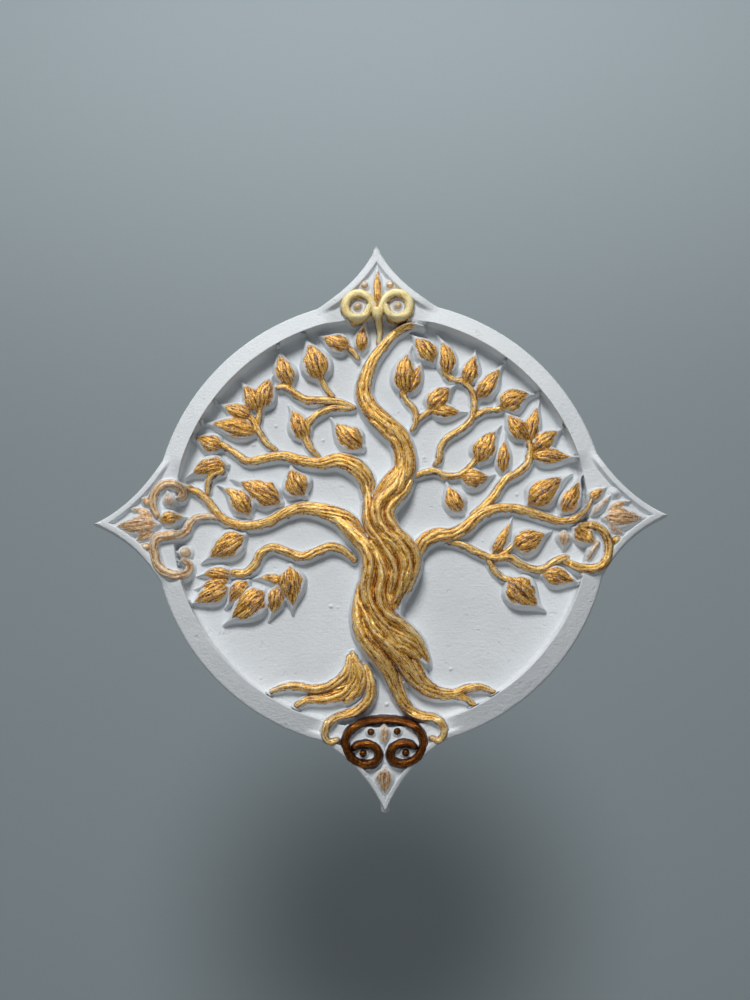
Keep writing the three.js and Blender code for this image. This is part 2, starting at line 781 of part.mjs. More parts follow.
// ---------- hanging wire ----------
// A bent loop of round wire that lies in the recess of the back, its two ends turned in against the recess
// floor.
function hangingWire() {
  const { half, lie } = LOOP;
  const crest = POCKET.z + LOOP.above;
  const foot = POCKET.z - LOOP.below;
  const end = -POCKET.depth + WIRE_R + GAP;
  const side = (sign) => [
    new THREE.Vector3(sign * half, end, foot),
    new THREE.Vector3(sign * half, -lie, foot + LOOP.bend),
    new THREE.Vector3(sign * half, -lie, crest - 0.44 * half),
  ];
  const crown = [-0.8, 0, 0.8].map(
    (turn) => new THREE.Vector3(half * Math.sin(turn), -lie, crest + half * (0.9 * Math.cos(turn) - 0.4)),
  );
  const path = new THREE.CatmullRomCurve3([...side(-1), ...crown, ...side(1).reverse()]);
  const circle = new THREE.Shape().absarc(0, 0, WIRE_R, 0, 2 * Math.PI);
  return new THREE.ExtrudeGeometry(circle, { steps: 18, curveSegments: 5, bevelEnabled: false, extrudePath: path });
}

// ---------- assembly ----------
const plaque = new THREE.Group();

function add(name, body, look) {
  const mesh = new THREE.Mesh(geometryOf(body), new THREE.MeshStandardMaterial(look));
  mesh.name = name;
  plaque.add(mesh);
}

add("back_plate", solid(slab()).subtract(solid(pocket())), PLASTER);
add("hanging_wire", solid(hangingWire()), STEEL);

const cutters = [];
const RIMS = {
  rim_top_right: [0, SHOULDER.side, SHOULDER.top],
  rim_top_left: [90, SHOULDER.top, SHOULDER.side],
  rim_bottom_left: [180, SHOULDER.side, SHOULDER.bottom],
  rim_bottom_right: [270, SHOULDER.bottom, SHOULDER.side],
};
for (const [name, [start, shoulderA, shoulderB]] of Object.entries(RIMS)) {
  add(name, solid(rim(start, shoulderA, shoulderB, 0)), PLASTER);
  cutters.push(solid(rim(start, shoulderA, shoulderB, GAP)));
}

// Joins each piece's shapes, cuts it back by a gap from every piece already laid, and adds it.
function lay(pieces, look) {
  for (const [name, shapes] of Object.entries(pieces)) {
    const body = join(shapes.map((shape) => solid(shape(0))));
    const free = cutters.reduce((rest, cutter) => rest.subtract(cutter), body);
    add(name, largest(free), look(name));
    cutters.push(join(shapes.map((shape) => solid(shape(GAP)))));
  }
}

const pale = (name) => (name.includes("left") ? PALE_GOLD : GOLD);
lay(TRUNK, () => GOLD);
lay(ROOTS, () => GOLD);
lay(BRANCHES, () => GOLD);
lay(SCROLLS, (name) => ({ scroll_top: BRIGHT_GOLD, scroll_bottom: BRONZE })[name] ?? pale(name));
lay(POINT_ORNAMENTS, pale);
lay(BEADS, (name) => (name.includes("bottom") ? BRONZE : PALE_GOLD));
lay(SPRIGS, () => GOLD);
lay(LEAVES, () => GOLD);

export default plaque;
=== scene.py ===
"""Tree-of-life wall plaque: cast plaster with a gilded relief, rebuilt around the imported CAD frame."""
import math

import bmesh
import bpy
import numpy as np
from mathutils import Matrix, Vector

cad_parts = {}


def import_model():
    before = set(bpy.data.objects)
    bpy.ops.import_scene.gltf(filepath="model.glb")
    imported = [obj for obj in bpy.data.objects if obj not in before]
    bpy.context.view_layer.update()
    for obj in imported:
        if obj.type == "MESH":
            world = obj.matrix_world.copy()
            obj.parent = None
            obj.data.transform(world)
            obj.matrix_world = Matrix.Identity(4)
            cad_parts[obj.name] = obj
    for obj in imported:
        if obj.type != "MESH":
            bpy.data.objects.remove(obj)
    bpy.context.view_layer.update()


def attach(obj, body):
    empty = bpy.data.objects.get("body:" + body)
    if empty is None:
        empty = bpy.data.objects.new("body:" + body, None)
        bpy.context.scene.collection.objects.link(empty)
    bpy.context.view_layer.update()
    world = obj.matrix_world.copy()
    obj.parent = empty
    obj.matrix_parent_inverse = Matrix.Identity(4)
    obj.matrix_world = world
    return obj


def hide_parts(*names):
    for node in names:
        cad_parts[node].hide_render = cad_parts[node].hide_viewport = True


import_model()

MM = 0.001

# ---------- sizes, in millimetres, as in the CAD source ----------
POINT_REACH = 90.3
RIM_R = 71.3
RIM_INNER_R = 64.2
POINT_HALF_WIDTH = 19.5
POINT_BOW = 2.4
SLAB = 6.0
FOOT = 6.3
RIM_RISE = 5.7
RIM_EDGE_RISE = 3.7
CREST_R = 65.1
TIP_RISE = 2.2
PANEL_DROP = 1.6
CLIMB = (60.5, 65.5)
TRUNK_RISE = 8.7
SCROLL_RISE = 2.4
PALMETTE_RISE = 2.6
BEAD_RISE = 1.8
SHOULDER = {"top": 13.5, "side": 15.0, "bottom": 18.0}
POCKET = {"width": 24.0, "height": 15.0, "depth": 2.4, "z": 58.0}
WIRE_R = 0.7
HIGHEST = 14.97

# ---------- how the relief is cast and gilded ----------
PITCH = 0.26  # step of the grid that carries it, in millimetres
SINK = 0.3  # how far each piece reaches below the surface that it stands on
EDGE_GAP = 0.4  # how far it stays inside the outline
SEAM_GOLD = 0.62  # share of the gold that is left where two shapes meet
STRAND_EDGE = 0.6  # height of a strand's side wall, as a share of its rise
LEAF_EDGE = 0.56  # the same for a leaf
GROOVE = (0.26, 0.065)  # depth of a strand's grooves: the least, and what each millimetre of rise adds


# ---------- numbers over arrays ----------
def lerp(a, b, t):
    return a + (b - a) * t


def smoothstep(x, low, high):
    t = np.clip((x - low) / (high - low), 0.0, 1.0)
    return t * t * (3 - 2 * t)


def noise(x, y, seed=0.0):
    """Value noise from 0 to 1 with features about one unit wide."""
    ix, iy = np.floor(x), np.floor(y)
    sx, sy = x - ix, y - iy
    sx, sy = sx * sx * (3 - 2 * sx), sy * sy * (3 - 2 * sy)

    def corner(dx, dy):
        v = np.sin((ix + dx) * 127.1 + (iy + dy) * 311.7 + seed * 74.7) * 43758.5453
        return v - np.floor(v)

    return lerp(lerp(corner(0, 0), corner(1, 0), sx), lerp(corner(0, 1), corner(1, 1), sx), sy)


def soften(values, times):
    """Blurs a grid a little each time."""
    for _ in range(times):
        wide = np.pad(values, 1, mode="edge")
        wide = (wide[:-2] + 2 * wide[1:-1] + wide[2:]) / 4
        values = (wide[:, :-2] + 2 * wide[:, 1:-1] + wide[:, 2:]) / 4
    return values


# ---------- outline of the plaque ----------
NOTCH_DEG = math.degrees(math.asin(POINT_HALF_WIDTH / RIM_R))
NOTCH_X = math.sqrt(RIM_R**2 - POINT_HALF_WIDTH**2)
HALF_CHORD = math.hypot(POINT_REACH - NOTCH_X, POINT_HALF_WIDTH) / 2
SIDE_R = (HALF_CHORD**2 + POINT_BOW**2) / (2 * POINT_BOW)
SIDE_X = (NOTCH_X + POINT_REACH) / 2 + POINT_HALF_WIDTH / (2 * HALF_CHORD) * (SIDE_R - POINT_BOW)
SIDE_Z = POINT_HALF_WIDTH / 2 + (POINT_REACH - NOTCH_X) / (2 * HALF_CHORD) * (SIDE_R - POINT_BOW)


def side_reach(off, inset):
    """Distance from the centre to a point's side set in by inset, off degrees from the point's axis."""
    off = np.radians(np.minimum(off, NOTCH_DEG))
    along = SIDE_X * np.cos(off) + SIDE_Z * np.sin(off)
    return along - np.sqrt(along**2 - SIDE_X**2 - SIDE_Z**2 + (SIDE_R + inset) ** 2)


def outer_reach(off, blunt=0.5):
    """Distance from the centre to the outline, with a round end of radius blunt on each point."""
    middle = POINT_REACH - blunt
    across = np.maximum(blunt**2 - (middle * np.sin(np.radians(off))) ** 2, 0)
    round_end = np.where(across > 0, middle * np.cos(np.radians(off)) + np.sqrt(across), 0)
    return np.where(off < NOTCH_DEG, np.maximum(side_reach(off, 0.0), round_end), RIM_R)


def crest_rise(reach):
    return lerp(RIM_RISE, TIP_RISE, smoothstep(reach, RIM_R, POINT_REACH))


def panel_rise(reach):
    return crest_rise(reach) - PANEL_DROP


def from_axis(x, z):
    """Degrees from the nearest of the four points' axes."""
    angle = np.degrees(np.arctan2(np.abs(z), np.abs(x)))
    return np.minimum(angle, 90 - angle)


def in_point(x, z, blend, wider=0.0):
    """1 inside the four points, 0 where the round rim runs, with blend degrees between."""
    upright = np.where(z > 0, SHOULDER["top"], SHOULDER["bottom"])
    shoulder = np.where(np.abs(z) < np.abs(x), SHOULDER["side"], upright) + wider
    return 1 - smoothstep(from_axis(x, z), shoulder - blend, shoulder + blend)


def ground(x, z):
    """Height over FOOT that the relief's crests are lifted by where it climbs onto a point's panel."""
    reach = np.hypot(x, z)
    return in_point(x, z, 1.5, 3.5) * smoothstep(reach, *CLIMB) * panel_rise(reach)


def surface(x, z):
    """Height over the back of what is under the relief: the floor, or a point's panel."""
    reach = np.hypot(x, z)
    face = lerp(RIM_RISE, RIM_EDGE_RISE, np.clip((reach - CREST_R) / (RIM_R - CREST_R), 0, 1)) - 0.3
    standing = FOOT + np.where(in_point(x, z, 0.5) > 0.5, panel_rise(reach), face)
    return np.where(reach > RIM_INNER_R + 0.4, standing, SLAB)


# ---------- lines and what is measured from them ----------
def centripetal(rows, step):
    """Points about step apart on the centripetal Catmull-Rom curve through the rows."""
    p = np.array(rows, float)
    p = np.vstack([2 * p[0] - p[1], p, 2 * p[-1] - p[-2]])
    made = []
    for a, b, c, d in zip(p, p[1:], p[2:], p[3:]):
        g0, g1, g2 = (max(np.linalg.norm((w - v)[:3]) ** 0.5, 1e-6) for v, w in ((a, b), (b, c), (c, d)))
        m1 = ((b - a) / g0 - (c - a) / (g0 + g1) + (c - b) / g1) * g1
        m2 = ((c - b) / g1 - (d - b) / (g1 + g2) + (d - c) / g2) * g1
        count = max(2, int(np.linalg.norm((c - b)[:2]) / step))
        t = np.arange(count)[:, None] / count
        made.append(b + m1 * t + (3 * (c - b) - 2 * m1 - m2) * t**2 + (2 * (b - c) + m1 + m2) * t**3)
    made.append(p[-2:-1])
    return np.vstack(made)


def rows(text):
    return [[float(v) for v in row.split()] for row in text.split(",")]


def measure(line, x, z):
    """For each grid place: signed distance to the line, arc length there, and the line's further columns."""
    best = np.full(x.shape, 1e9)
    where = np.zeros(x.shape)
    side = np.zeros(x.shape)
    for i, (a, b) in enumerate(zip(line[:-1], line[1:])):
        dx, dz = b[0] - a[0], b[1] - a[1]
        length = max(math.hypot(dx, dz), 1e-6)
        t = np.clip(((x - a[0]) * dx + (z - a[1]) * dz) / length**2, 0, 1)
        qx, qz = x - a[0] - t * dx, z - a[1] - t * dz
        distance = np.hypot(qx, qz)
        near = distance < best
        best[near] = distance[near]
        where[near] = i + t[near]
        side[near] = np.copysign(distance, qx * dz - qz * dx)[near]
    lengths = np.concatenate([[0], np.cumsum(np.hypot(*np.diff(line[:, :2], axis=0).T))])
    return side, *(np.interp(where, np.arange(len(line)), column) for column in (lengths, *line.T[2:]))


# ---------- shapes: each gives height, gilding, the run of its grain and darkening (wash and painted shade) over a grid ---
def box_of(line, margin):
    return [*(line[:, :2].min(axis=0) - margin), *(line[:, :2].max(axis=0) + margin)]


def walled(x, z, out, dome, edge, wall):
    """The dome where out is negative, and beside it a drafted wall that falls from edge to what is below."""
    base = FOOT + ground(x, z)
    below = surface(x, z)
    fall = np.clip(out / wall, 0, 1)
    side = below + (base + edge - below) * (1 - fall) ** 2.2 - 0.14 * fall
    return np.where(out < 0, base + dome, side)


def strand(text, rise=0.0, ridges=0, twist=0.012, wall=1.0, gold=0.92, fade=(0.0, 0.0), groove=1.0):
    """A ridge with grooves along it; text is rows of x, z, half width and, where it varies, rise."""
    line = centripetal(rows(text), 0.5)
    seed = line[0, 0] * 3.1 + line[0, 1]

    def at(x, z):
        side, arc, half, *tops = measure(line, x, z)
        top = tops[0] if tops else rise or np.minimum(1.6 + 1.05 * half, TRUNK_RISE)
        u = np.clip(side / half, -1, 1)
        edge = STRAND_EDGE * top
        count = ridges or np.maximum(2, np.round(line[:, 2].max() * 1.2))
        wander = noise(arc * 0.22, side * 0.5, seed) - 0.5
        phase = (u * 0.5 + 0.5) * count + twist * arc * count + 0.7 * wander
        valley = 1 - np.abs(np.sin(math.pi * phase)) ** 0.7
        depth = groove * (GROOVE[0] + GROOVE[1] * top)
        round_over = np.sqrt(1 - u * u)
        dome = edge + (top - edge) * round_over - depth * valley * round_over**0.7
        dome += 0.1 * (noise(arc * 0.7, side * 4, seed + 3) - 0.5)
        out = np.abs(side) - half
        share = arc / arc.max()
        ends = smoothstep(share, -0.01, fade[0]) if fade[0] else 1.0
        ends = ends * (1 - smoothstep(share, 1 - fade[1], 1.01) if fade[1] else 1.0)
        ragged = 0.5 * (noise(arc * 1.1, side * 2.5, seed + 5) - 0.5)
        gilt = smoothstep(-out + ragged, -0.55, 0.25 * half)
        # Darker paint in the grooves, the wash that lies there together with painted shade, and painted
        # shade down both sides.
        wash_and_shade = groove * valley**1.5 * (0.3 + 0.7 * noise(arc * 0.4, u * 2, seed + 7))
        wash_and_shade = wash_and_shade + 0.5 * smoothstep(np.abs(u), 0.6, 1.0)
        return walled(x, z, out, dome, edge, wall), gilt * gold * ends, arc, side, wash_and_shade

    return box_of(line, line[:, 2].max() + wall + 0.5), at


# Rows along a leaf: share of its length, and of its width and rise there.
LEAF_ROWS = [
    (0.0, 0.24, 0.62), (0.07, 0.52, 0.78), (0.18, 0.9, 0.94), (0.34, 1.04, 1.0), (0.5, 0.96, 0.97),
    (0.66, 0.72, 0.86), (0.8, 0.43, 0.72), (0.92, 0.2, 0.58), (1.03, 0.08, 0.46), (1.1, 0.02, 0.38),
]


def leaf(tip, base, width, bow=0.0, rise=0.0, gold=0.76, wall=0.8):
    """A domed leaf from base to tip, its ribs meeting at both ends; bow moves its middle to the right."""
    tip, base = np.array(tip, float), np.array(base, float)
    length = np.linalg.norm(tip - base)
    ahead = (tip - base) / length
    right = np.array([ahead[1], -ahead[0]])
    rise = rise or 1.7 + 0.3 * width
    shape = centripetal(LEAF_ROWS, 0.04)
    t = shape[:, :1]
    middle = base + t * length * ahead + bow * 4 * t * (1 - t) * right
    line = np.hstack([middle, shape[:, 1:2] * width / 2, shape[:, 2:]])
    seed = tip[0] * 1.7 + tip[1] * 0.9

    def at(x, z):
        side, arc, half, top = measure(line, x, z)
        body = 1.1 * half + 0.02
        top = rise * top
        u = np.clip(side / body, -1, 1)
        share = arc / length
        edge = LEAF_EDGE * top
        crown = 1 - np.abs(u) ** 1.7
        warp = noise(share * 4, u * 1.6, seed) - 0.5
        fan = np.abs(np.sin(math.pi * (u * 2.4 * (1 + 0.25 * warp) + 0.5 + 0.9 * warp))) ** 0.8
        hairs = noise(share * 7, u * 8 + warp * 2, seed + 2)
        rib = 1 - smoothstep(np.abs(u), 0.03, 0.2)
        veins = 0.3 * (fan - 0.75) + 0.36 * (hairs - 0.5) - 0.22 * rib
        dome = edge + (top - edge) * crown + crown**0.6 * veins
        out = np.abs(side) - body
        ragged = (noise(share * 9, u * 6, seed + 4) - 0.5) * (0.3 + 0.12 * width)
        gilt = smoothstep(-out + ragged, -0.4, 0.2 * width)
        gilt *= 1 - 0.5 * smoothstep(share + 0.2 * (hairs - 0.5), 0.8, 1.02)
        skirt = wall * lerp(0.5, 1.0, np.clip(2 * half / width, 0, 1))
        # Darker paint in the vein valleys and along the midrib: the wash there together with painted shade.
        wash_and_shade = 0.5 * (1 - fan) * crown + 0.2 * rib
        return walled(x, z, out, dome, edge, skirt), gilt * gold, arc, side, wash_and_shade

    return box_of(line, width / 2 + wall + 0.5), at


def bead(x0, z0, radius, rise=BEAD_RISE, gold=1.0, collar=0.55):
    """A round bead in a low collar."""

    def at(x, z):
        reach = np.hypot(x - x0, z - z0)
        dome = rise * np.sqrt(np.clip(1 - (reach / radius) ** 2, 0, 1))
        ring = 0.34 * rise * smoothstep(radius + collar - reach, -0.2, 0.25)
        gilt = smoothstep(0.94 * radius - reach, -0.12, 0.22)
        out = reach - radius - collar
        # Darker paint over the bead's outer half: painted shade on its sloping sides and the wash at its
        # foot.
        wash_and_shade = 0.3 * smoothstep(reach, 0.5 * radius, radius)
        height = walled(x, z, out, np.maximum(dome, ring), 0.3 * rise, 0.5)
        return height, gilt * gold, reach, x - x0, wash_and_shade

    margin = radius + collar + 1
    return [x0 - margin, z0 - margin, x0 + margin, z0 + margin], at


def pip(x0, z0, radius, rise):
    """A small casting lump on the floor."""

    def at(x, z):
        reach = np.hypot(x - x0, z - z0) / radius * (1 + 0.5 * (noise(x * 1.3, z * 1.3, x0) - 0.5))
        height = SLAB - 0.14 + rise * np.exp(-2.2 * reach**2)
        return height, np.zeros(x.shape), reach, reach, np.zeros(x.shape)

    return [x0 - 3 * radius, z0 - 3 * radius, x0 + 3 * radius, z0 + 3 * radius], at


# ---------- meshes ----------
def in_scene(name, data):
    made = bpy.data.objects.new(name, data)
    bpy.context.scene.collection.objects.link(made)
    return made


def new_object(name, verts, faces, material):
    mesh = bpy.data.meshes.new(name)
    mesh.from_pydata([tuple(v) for v in np.asarray(verts) * MM], [], faces)
    mesh.materials.append(material)
    mesh.shade_smooth()
    return in_scene(name, mesh)


def quads(a, b, c, d):
    """Four-sided faces from four grids of corner numbers."""
    return np.stack([a, b, c, d], -1).reshape(-1, 4).tolist()


def attribute(mesh, name, values):
    layer = mesh.attributes.new(name, "FLOAT", "POINT")
    layer.data.foreach_set("value", np.asarray(values, np.float32))


def relief(name, shapes, material, stands_for=()):
    """One closed piece: the highest of its shapes over a fine grid, cut off just below the surface."""
    boxes = np.array([box for box, _ in shapes])
    low = np.floor(boxes[:, :2].min(axis=0) / PITCH)
    high = np.ceil(boxes[:, 2:].max(axis=0) / PITCH)
    xs, zs = (np.arange(a, b + 1) * PITCH for a, b in zip(low, high))
    x, z = np.meshgrid(xs, zs)
    below = surface(x, z)
    height = below - SINK
    gilt, arc, side, wash_and_shade, most = (np.zeros(x.shape) for _ in range(5))
    for box, at in shapes:
        c0, c1 = np.searchsorted(xs, [box[0], box[2]])
        r0, r1 = np.searchsorted(zs, [box[1], box[3]])
        part = np.s_[r0:r1, c0:c1]
        made = at(x[part], z[part])
        over = made[0] > height[part]
        for whole, piece in zip((height, gilt, arc, side, wash_and_shade), made):
            whole[part][over] = piece[over]
        most[part] = np.maximum(most[part], made[1])
    inside = np.hypot(x, z) < outer_reach(from_axis(x, z)) - EDGE_GAP
    keep = (height > below - 0.1) & inside
    height = np.minimum(soften(height, 1), HIGHEST)
    # Crest: how far a place stands above or sinks below its neighbours; the paint uses it for wear on
    # crests, and for crests lighter and hollows darker, partly the paint's own tone and partly painted
    # highlight and shade.
    crest = np.clip((height - soften(height, 4)) / 0.16, -1, 1)
    gilt = soften(most * lerp(SEAM_GOLD, 1.0, gilt), 1)

    cells = keep[:-1, :-1] | keep[:-1, 1:] | keep[1:, 1:] | keep[1:, :-1]
    number = np.arange(x.size).reshape(x.shape)
    corners = np.stack([number[:-1, :-1], number[:-1, 1:], number[1:, 1:], number[1:, :-1]], -1)[cells]
    used, faces = np.unique(corners, return_inverse=True)
    faces = faces.reshape(-1, 4)
    top = np.stack([x.ravel()[used], -np.maximum(height, below - SINK).ravel()[used], z.ravel()[used]], -1)

    edges = np.concatenate([faces[:, [k, (k + 1) % 4]] for k in range(4)])
    there = edges[:, 0] * len(used) + edges[:, 1]
    back = edges[:, 1] * len(used) + edges[:, 0]
    border = edges[~np.isin(there, back)]
    rim_verts, inverse = np.unique(border, return_inverse=True)
    inverse = inverse.reshape(-1, 2) + len(used)
    foot = top[rim_verts] * [1, 0, 1] + [0, -(SLAB - SINK), 0]
    walls = quads(border[:, 1], border[:, 0], inverse[:, 0], inverse[:, 1])

    made = new_object(name, np.vstack([top, foot]), faces.tolist() + walls, material)
    close_back(made.data)
    bare = np.zeros(len(rim_verts))
    for label, values in (("gold", gilt), ("crest", crest), ("arc", arc), ("side", side), ("wash_and_shade", wash_and_shade)):
        attribute(made.data, label, np.concatenate([values.ravel()[used], bare]))
    made.data.shade_smooth()
    place(made, stands_for)


def close_back(mesh):
    """Fills the open flat back of a mesh."""
    bm = bmesh.new()
    bm.from_mesh(mesh)
    loose = [e for e in bm.edges if e.is_boundary]
    made = bmesh.ops.triangle_fill(bm, edges=loose, use_beauty=False, use_dissolve=False)
    for face in made["geom"]:
        if isinstance(face, bmesh.types.BMFace):
            face.normal_update()
            if face.normal.y < 0:
                face.normal_flip()
    bm.to_mesh(mesh)
    bm.free()


def place(piece, stands_for):
    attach(piece, "root")
    if stands_for:
        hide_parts(*stands_for)


# ---------- materials ----------
class Shader:
    """A node material as nested calls; an input goes by its name, or by i and its number."""

    def __init__(self, name):
        self.material = bpy.data.materials.new(name)
        self.material.use_nodes = True
        self.tree = self.material.node_tree
        self.surface = self.tree.nodes["Principled BSDF"]

    def add(self, kind, out=0, props=(), **inputs):
        node = self.tree.nodes.new("ShaderNode" + kind)
        for key, value in dict(props).items():
            setattr(node, key, value)
        for key, value in inputs.items():
            socket = int(key[1:]) if key[1:].isdigit() else key.replace("_", " ")
            self.feed(node.inputs[socket], value)
        return node.outputs[out]

    def feed(self, socket, value):
        if isinstance(value, bpy.types.NodeSocket):
            self.tree.links.new(value, socket)
        elif isinstance(value, tuple) and len(value) == 3 and socket.type == "RGBA":
            socket.default_value = (*value, 1)
        else:
            socket.default_value = value

    def value(self, name):
        return self.add("Attribute", 2, {"attribute_name": name})

    def math(self, operation, a, b, clamp=False):
        return self.add("Math", 0, {"operation": operation, "use_clamp": clamp}, i0=a, i1=b)

    def plus(self, a, b, clamp=False):
        return self.math("ADD", a, b, clamp)

    def minus(self, a, b):
        return self.math("SUBTRACT", a, b)

    def times(self, a, b):
        return self.math("MULTIPLY", a, b)

    def swing(self, texture, amount):
        """A texture from 0 to 1 as something that adds or takes up to half of amount."""
        return self.times(self.minus(texture, 0.5), amount)

    def blend(self, factor, a, b):
        return self.add("Mix", 2, {"data_type": "RGBA"}, i0=factor, i6=a, i7=b)

    def remap(self, value, low, high, to_low=0.0, to_high=1.0):
        props = {"interpolation_type": "SMOOTHSTEP"}
        return self.add("MapRange", 0, props, i0=value, i1=low, i2=high, i3=to_low, i4=to_high)

    def grain(self, scale, detail=2.0, roughness=0.55, vector=None):
        vector = vector or self.add("TexCoord", 3)
        return self.add("TexNoise", Vector=vector, Scale=scale, Detail=detail, Roughness=roughness)

    def ramp(self, factor, stops):
        made = self.add("ValToRGB", i0=factor)
        elements = made.node.color_ramp.elements
        while len(elements) < len(stops):
            elements.new(0.5)
        for element, (at, colour) in zip(elements, stops):
            element.position = at
            element.color = (*colour, 1)
        return made

    def bump(self, height, strength, distance):
        return self.add("Bump", Height=height, Strength=strength, Distance=distance)

    def finish(self, **sockets):
        for key, value in sockets.items():
            self.feed(self.surface.inputs[key.replace("_", " ")], value)
        return self.material


PLASTER_LIGHT = (0.79, 0.82, 0.84)
PLASTER_CLOUD = (0.74, 0.775, 0.80)
PLASTER_DARK = (0.62, 0.65, 0.68)


def plaster_parts(s):
    """Colour, roughness and fine height of brushed white plaster."""
    cloud = s.grain(60, 3)
    fine = s.grain(1100, 3, 0.65)
    dots = s.remap(s.grain(420, 1.0, 0.4), 0.71, 0.76)
    stretched = s.add("Mapping", Vector=s.add("TexCoord", 3), Scale=(0.22, 1.0, 1.0))
    strokes = s.grain(1700, 2, 0.6, stretched)
    colour = s.blend(s.remap(cloud, 0.3, 0.7), PLASTER_LIGHT, PLASTER_CLOUD)
    colour = s.blend(s.times(dots, 0.15), colour, PLASTER_DARK)
    height = s.plus(s.times(fine, 0.6), s.times(strokes, 0.3))
    height = s.minus(height, s.times(dots, 0.3))
    roughness = s.remap(fine, 0.2, 0.8, 0.62, 0.82)
    return colour, roughness, height


def plaster(name):
    s = Shader(name)
    colour, roughness, height = plaster_parts(s)
    return s.finish(Base_Color=colour, Roughness=roughness, Normal=s.bump(height, 0.9, 0.00038))


def gilded(name, tones, cover, shine, speckle, wear):
    """Plaster dry-brushed with gold paint: gold where the gold attribute says, darkest in the grooves, where
    the wash darkens it and shade is painted in.
    """
    s = Shader(name)
    colour, roughness, height = plaster_parts(s)
    crest, gold = s.value("crest"), s.value("gold")
    along, across = s.times(s.value("arc"), 0.35), s.times(s.value("side"), 4.0)
    streaks = s.grain(1.0, 3, 0.6, s.add("CombineXYZ", X=along, Y=across, Z=0.0))
    specks = s.grain(2300, 2, 0.6)
    patches = s.grain(330, 2, 0.5)

    amount = s.plus(s.plus(gold, s.swing(specks, speckle)), s.swing(patches, 0.5))
    worn = s.remap(s.plus(s.times(crest, 0.15), s.times(specks, 2.0)), 1.12, 1.38)
    mask = s.remap(s.plus(amount, cover), 0.36, 0.6)
    mask = s.times(mask, s.minus(1.0, s.times(worn, wear)))

    # Tone: lighter on crests and darker in hollows, partly the dry-brushed paint and partly painted
    # highlight and shade; darker where the gold share is low, which is painted shade along the relief's
    # sides and the browner tone of the leaves.
    tone = s.plus(s.times(crest, 0.17), s.remap(gold, 0.42, 0.92, 0.36, 0.62))
    # Darker still where each shape asks for it: the wash in the grooves and painted shade.
    tone = s.minus(tone, s.times(s.value("wash_and_shade"), 0.55))
    tone = s.plus(tone, s.swing(streaks, 2.3))
    tone = s.plus(tone, s.swing(s.grain(1500, 2, 0.6), 1.1))
    tone = s.plus(tone, s.swing(patches, 0.6), clamp=True)
    polish = s.remap(streaks, 0.25, 0.75, 0.46, 0.28)
    return s.finish(
        Base_Color=s.blend(mask, colour, s.ramp(tone, tones)),
        Metallic=s.times(mask, shine),
        Roughness=s.add("Mix", 0, {"data_type": "FLOAT"}, i0=mask, i2=roughness, i3=polish),
        Normal=s.bump(s.plus(s.times(streaks, 0.9), height), 0.8, 0.0003),
    )


def wire_material():
    s = Shader("galvanised_wire")
    mottle = s.grain(700, 3)
    return s.finish(
        Base_Color=s.blend(mottle, (0.42, 0.43, 0.44), (0.62, 0.63, 0.64)),
        Metallic=1.0,
        Roughness=s.remap(mottle, 0.3, 0.7, 0.28, 0.46),
        Normal=s.bump(s.grain(2600, 2), 0.25, 0.0001),
    )


# Paint from its darkest to its lightest tone.
GOLD_TONES = [(0.0, (0.07, 0.016, 0.001)), (0.24, (0.28, 0.095, 0.007)), (0.5, (0.72, 0.34, 0.035)),
              (0.75, (1.00, 0.60, 0.10)), (1.0, (1.00, 0.86, 0.42))]
BRIGHT_TONES = [(0.0, (0.24, 0.09, 0.008)), (0.3, (0.88, 0.56, 0.14)), (0.6, (1.00, 0.82, 0.34)),
                (1.0, (1.00, 0.92, 0.60))]
PALE_TONES = [(0.0, (0.22, 0.075, 0.015)), (0.35, (0.56, 0.27, 0.09)), (0.65, (0.82, 0.54, 0.25)),
              (1.0, (0.95, 0.83, 0.62))]
BRONZE_TONES = [(0.0, (0.03, 0.006, 0.0005)), (0.45, (0.115, 0.027, 0.0013)), (0.8, (0.19, 0.052, 0.003)),
                (1.0, (0.42, 0.16, 0.016))]

PLASTER = plaster("white_plaster")
GOLD = gilded("gold_paint", GOLD_TONES, cover=0.0, shine=0.5, speckle=0.7, wear=0.6)
BRIGHT = gilded("bright_gold_paint", BRIGHT_TONES, cover=0.15, shine=0.15, speckle=0.35, wear=0.2)
PALE = gilded("pale_gold_paint", PALE_TONES, cover=-0.06, shine=0.35, speckle=0.7, wear=0.7)
BRONZE = gilded("bronze_gold_paint", BRONZE_TONES, cover=0.3, shine=0.9, speckle=0.2, wear=0.03)
WIRE = wire_material()


# ---------- plate and rims ----------
def between(given):
    """Adds a smooth row between each two rows."""
    full = np.concatenate([given[:1], given, given[-1:]])
    middle = (9 * (full[1:-2] + full[2:-1]) - full[:-3] - full[3:]) / 16
    out = np.empty((len(given) * 2 - 1, *given.shape[1:]))
    out[::2], out[1::2] = given, middle
    return out


def around(angles, reach, height):
    """Points for each row and angle."""
    turn = np.radians(angles)
    return np.stack([reach * np.cos(turn), -height, reach * np.sin(turn)], -1)


PANEL_ROWS = 9
LIP_R = 65.2  # where a point's panel ends, at the crest of the round rim
BLUNT = {"top": 0.8, "side": 0.5, "bottom": 1.5}  # radius of the round end of each point
BORDER = {"top": 1.0, "side": 0.8, "bottom": 0.55}  # width of the raised edge beside each panel, as a share
SHOULDER_BLEND = 3.0  # degrees over which the round rim turns into a point


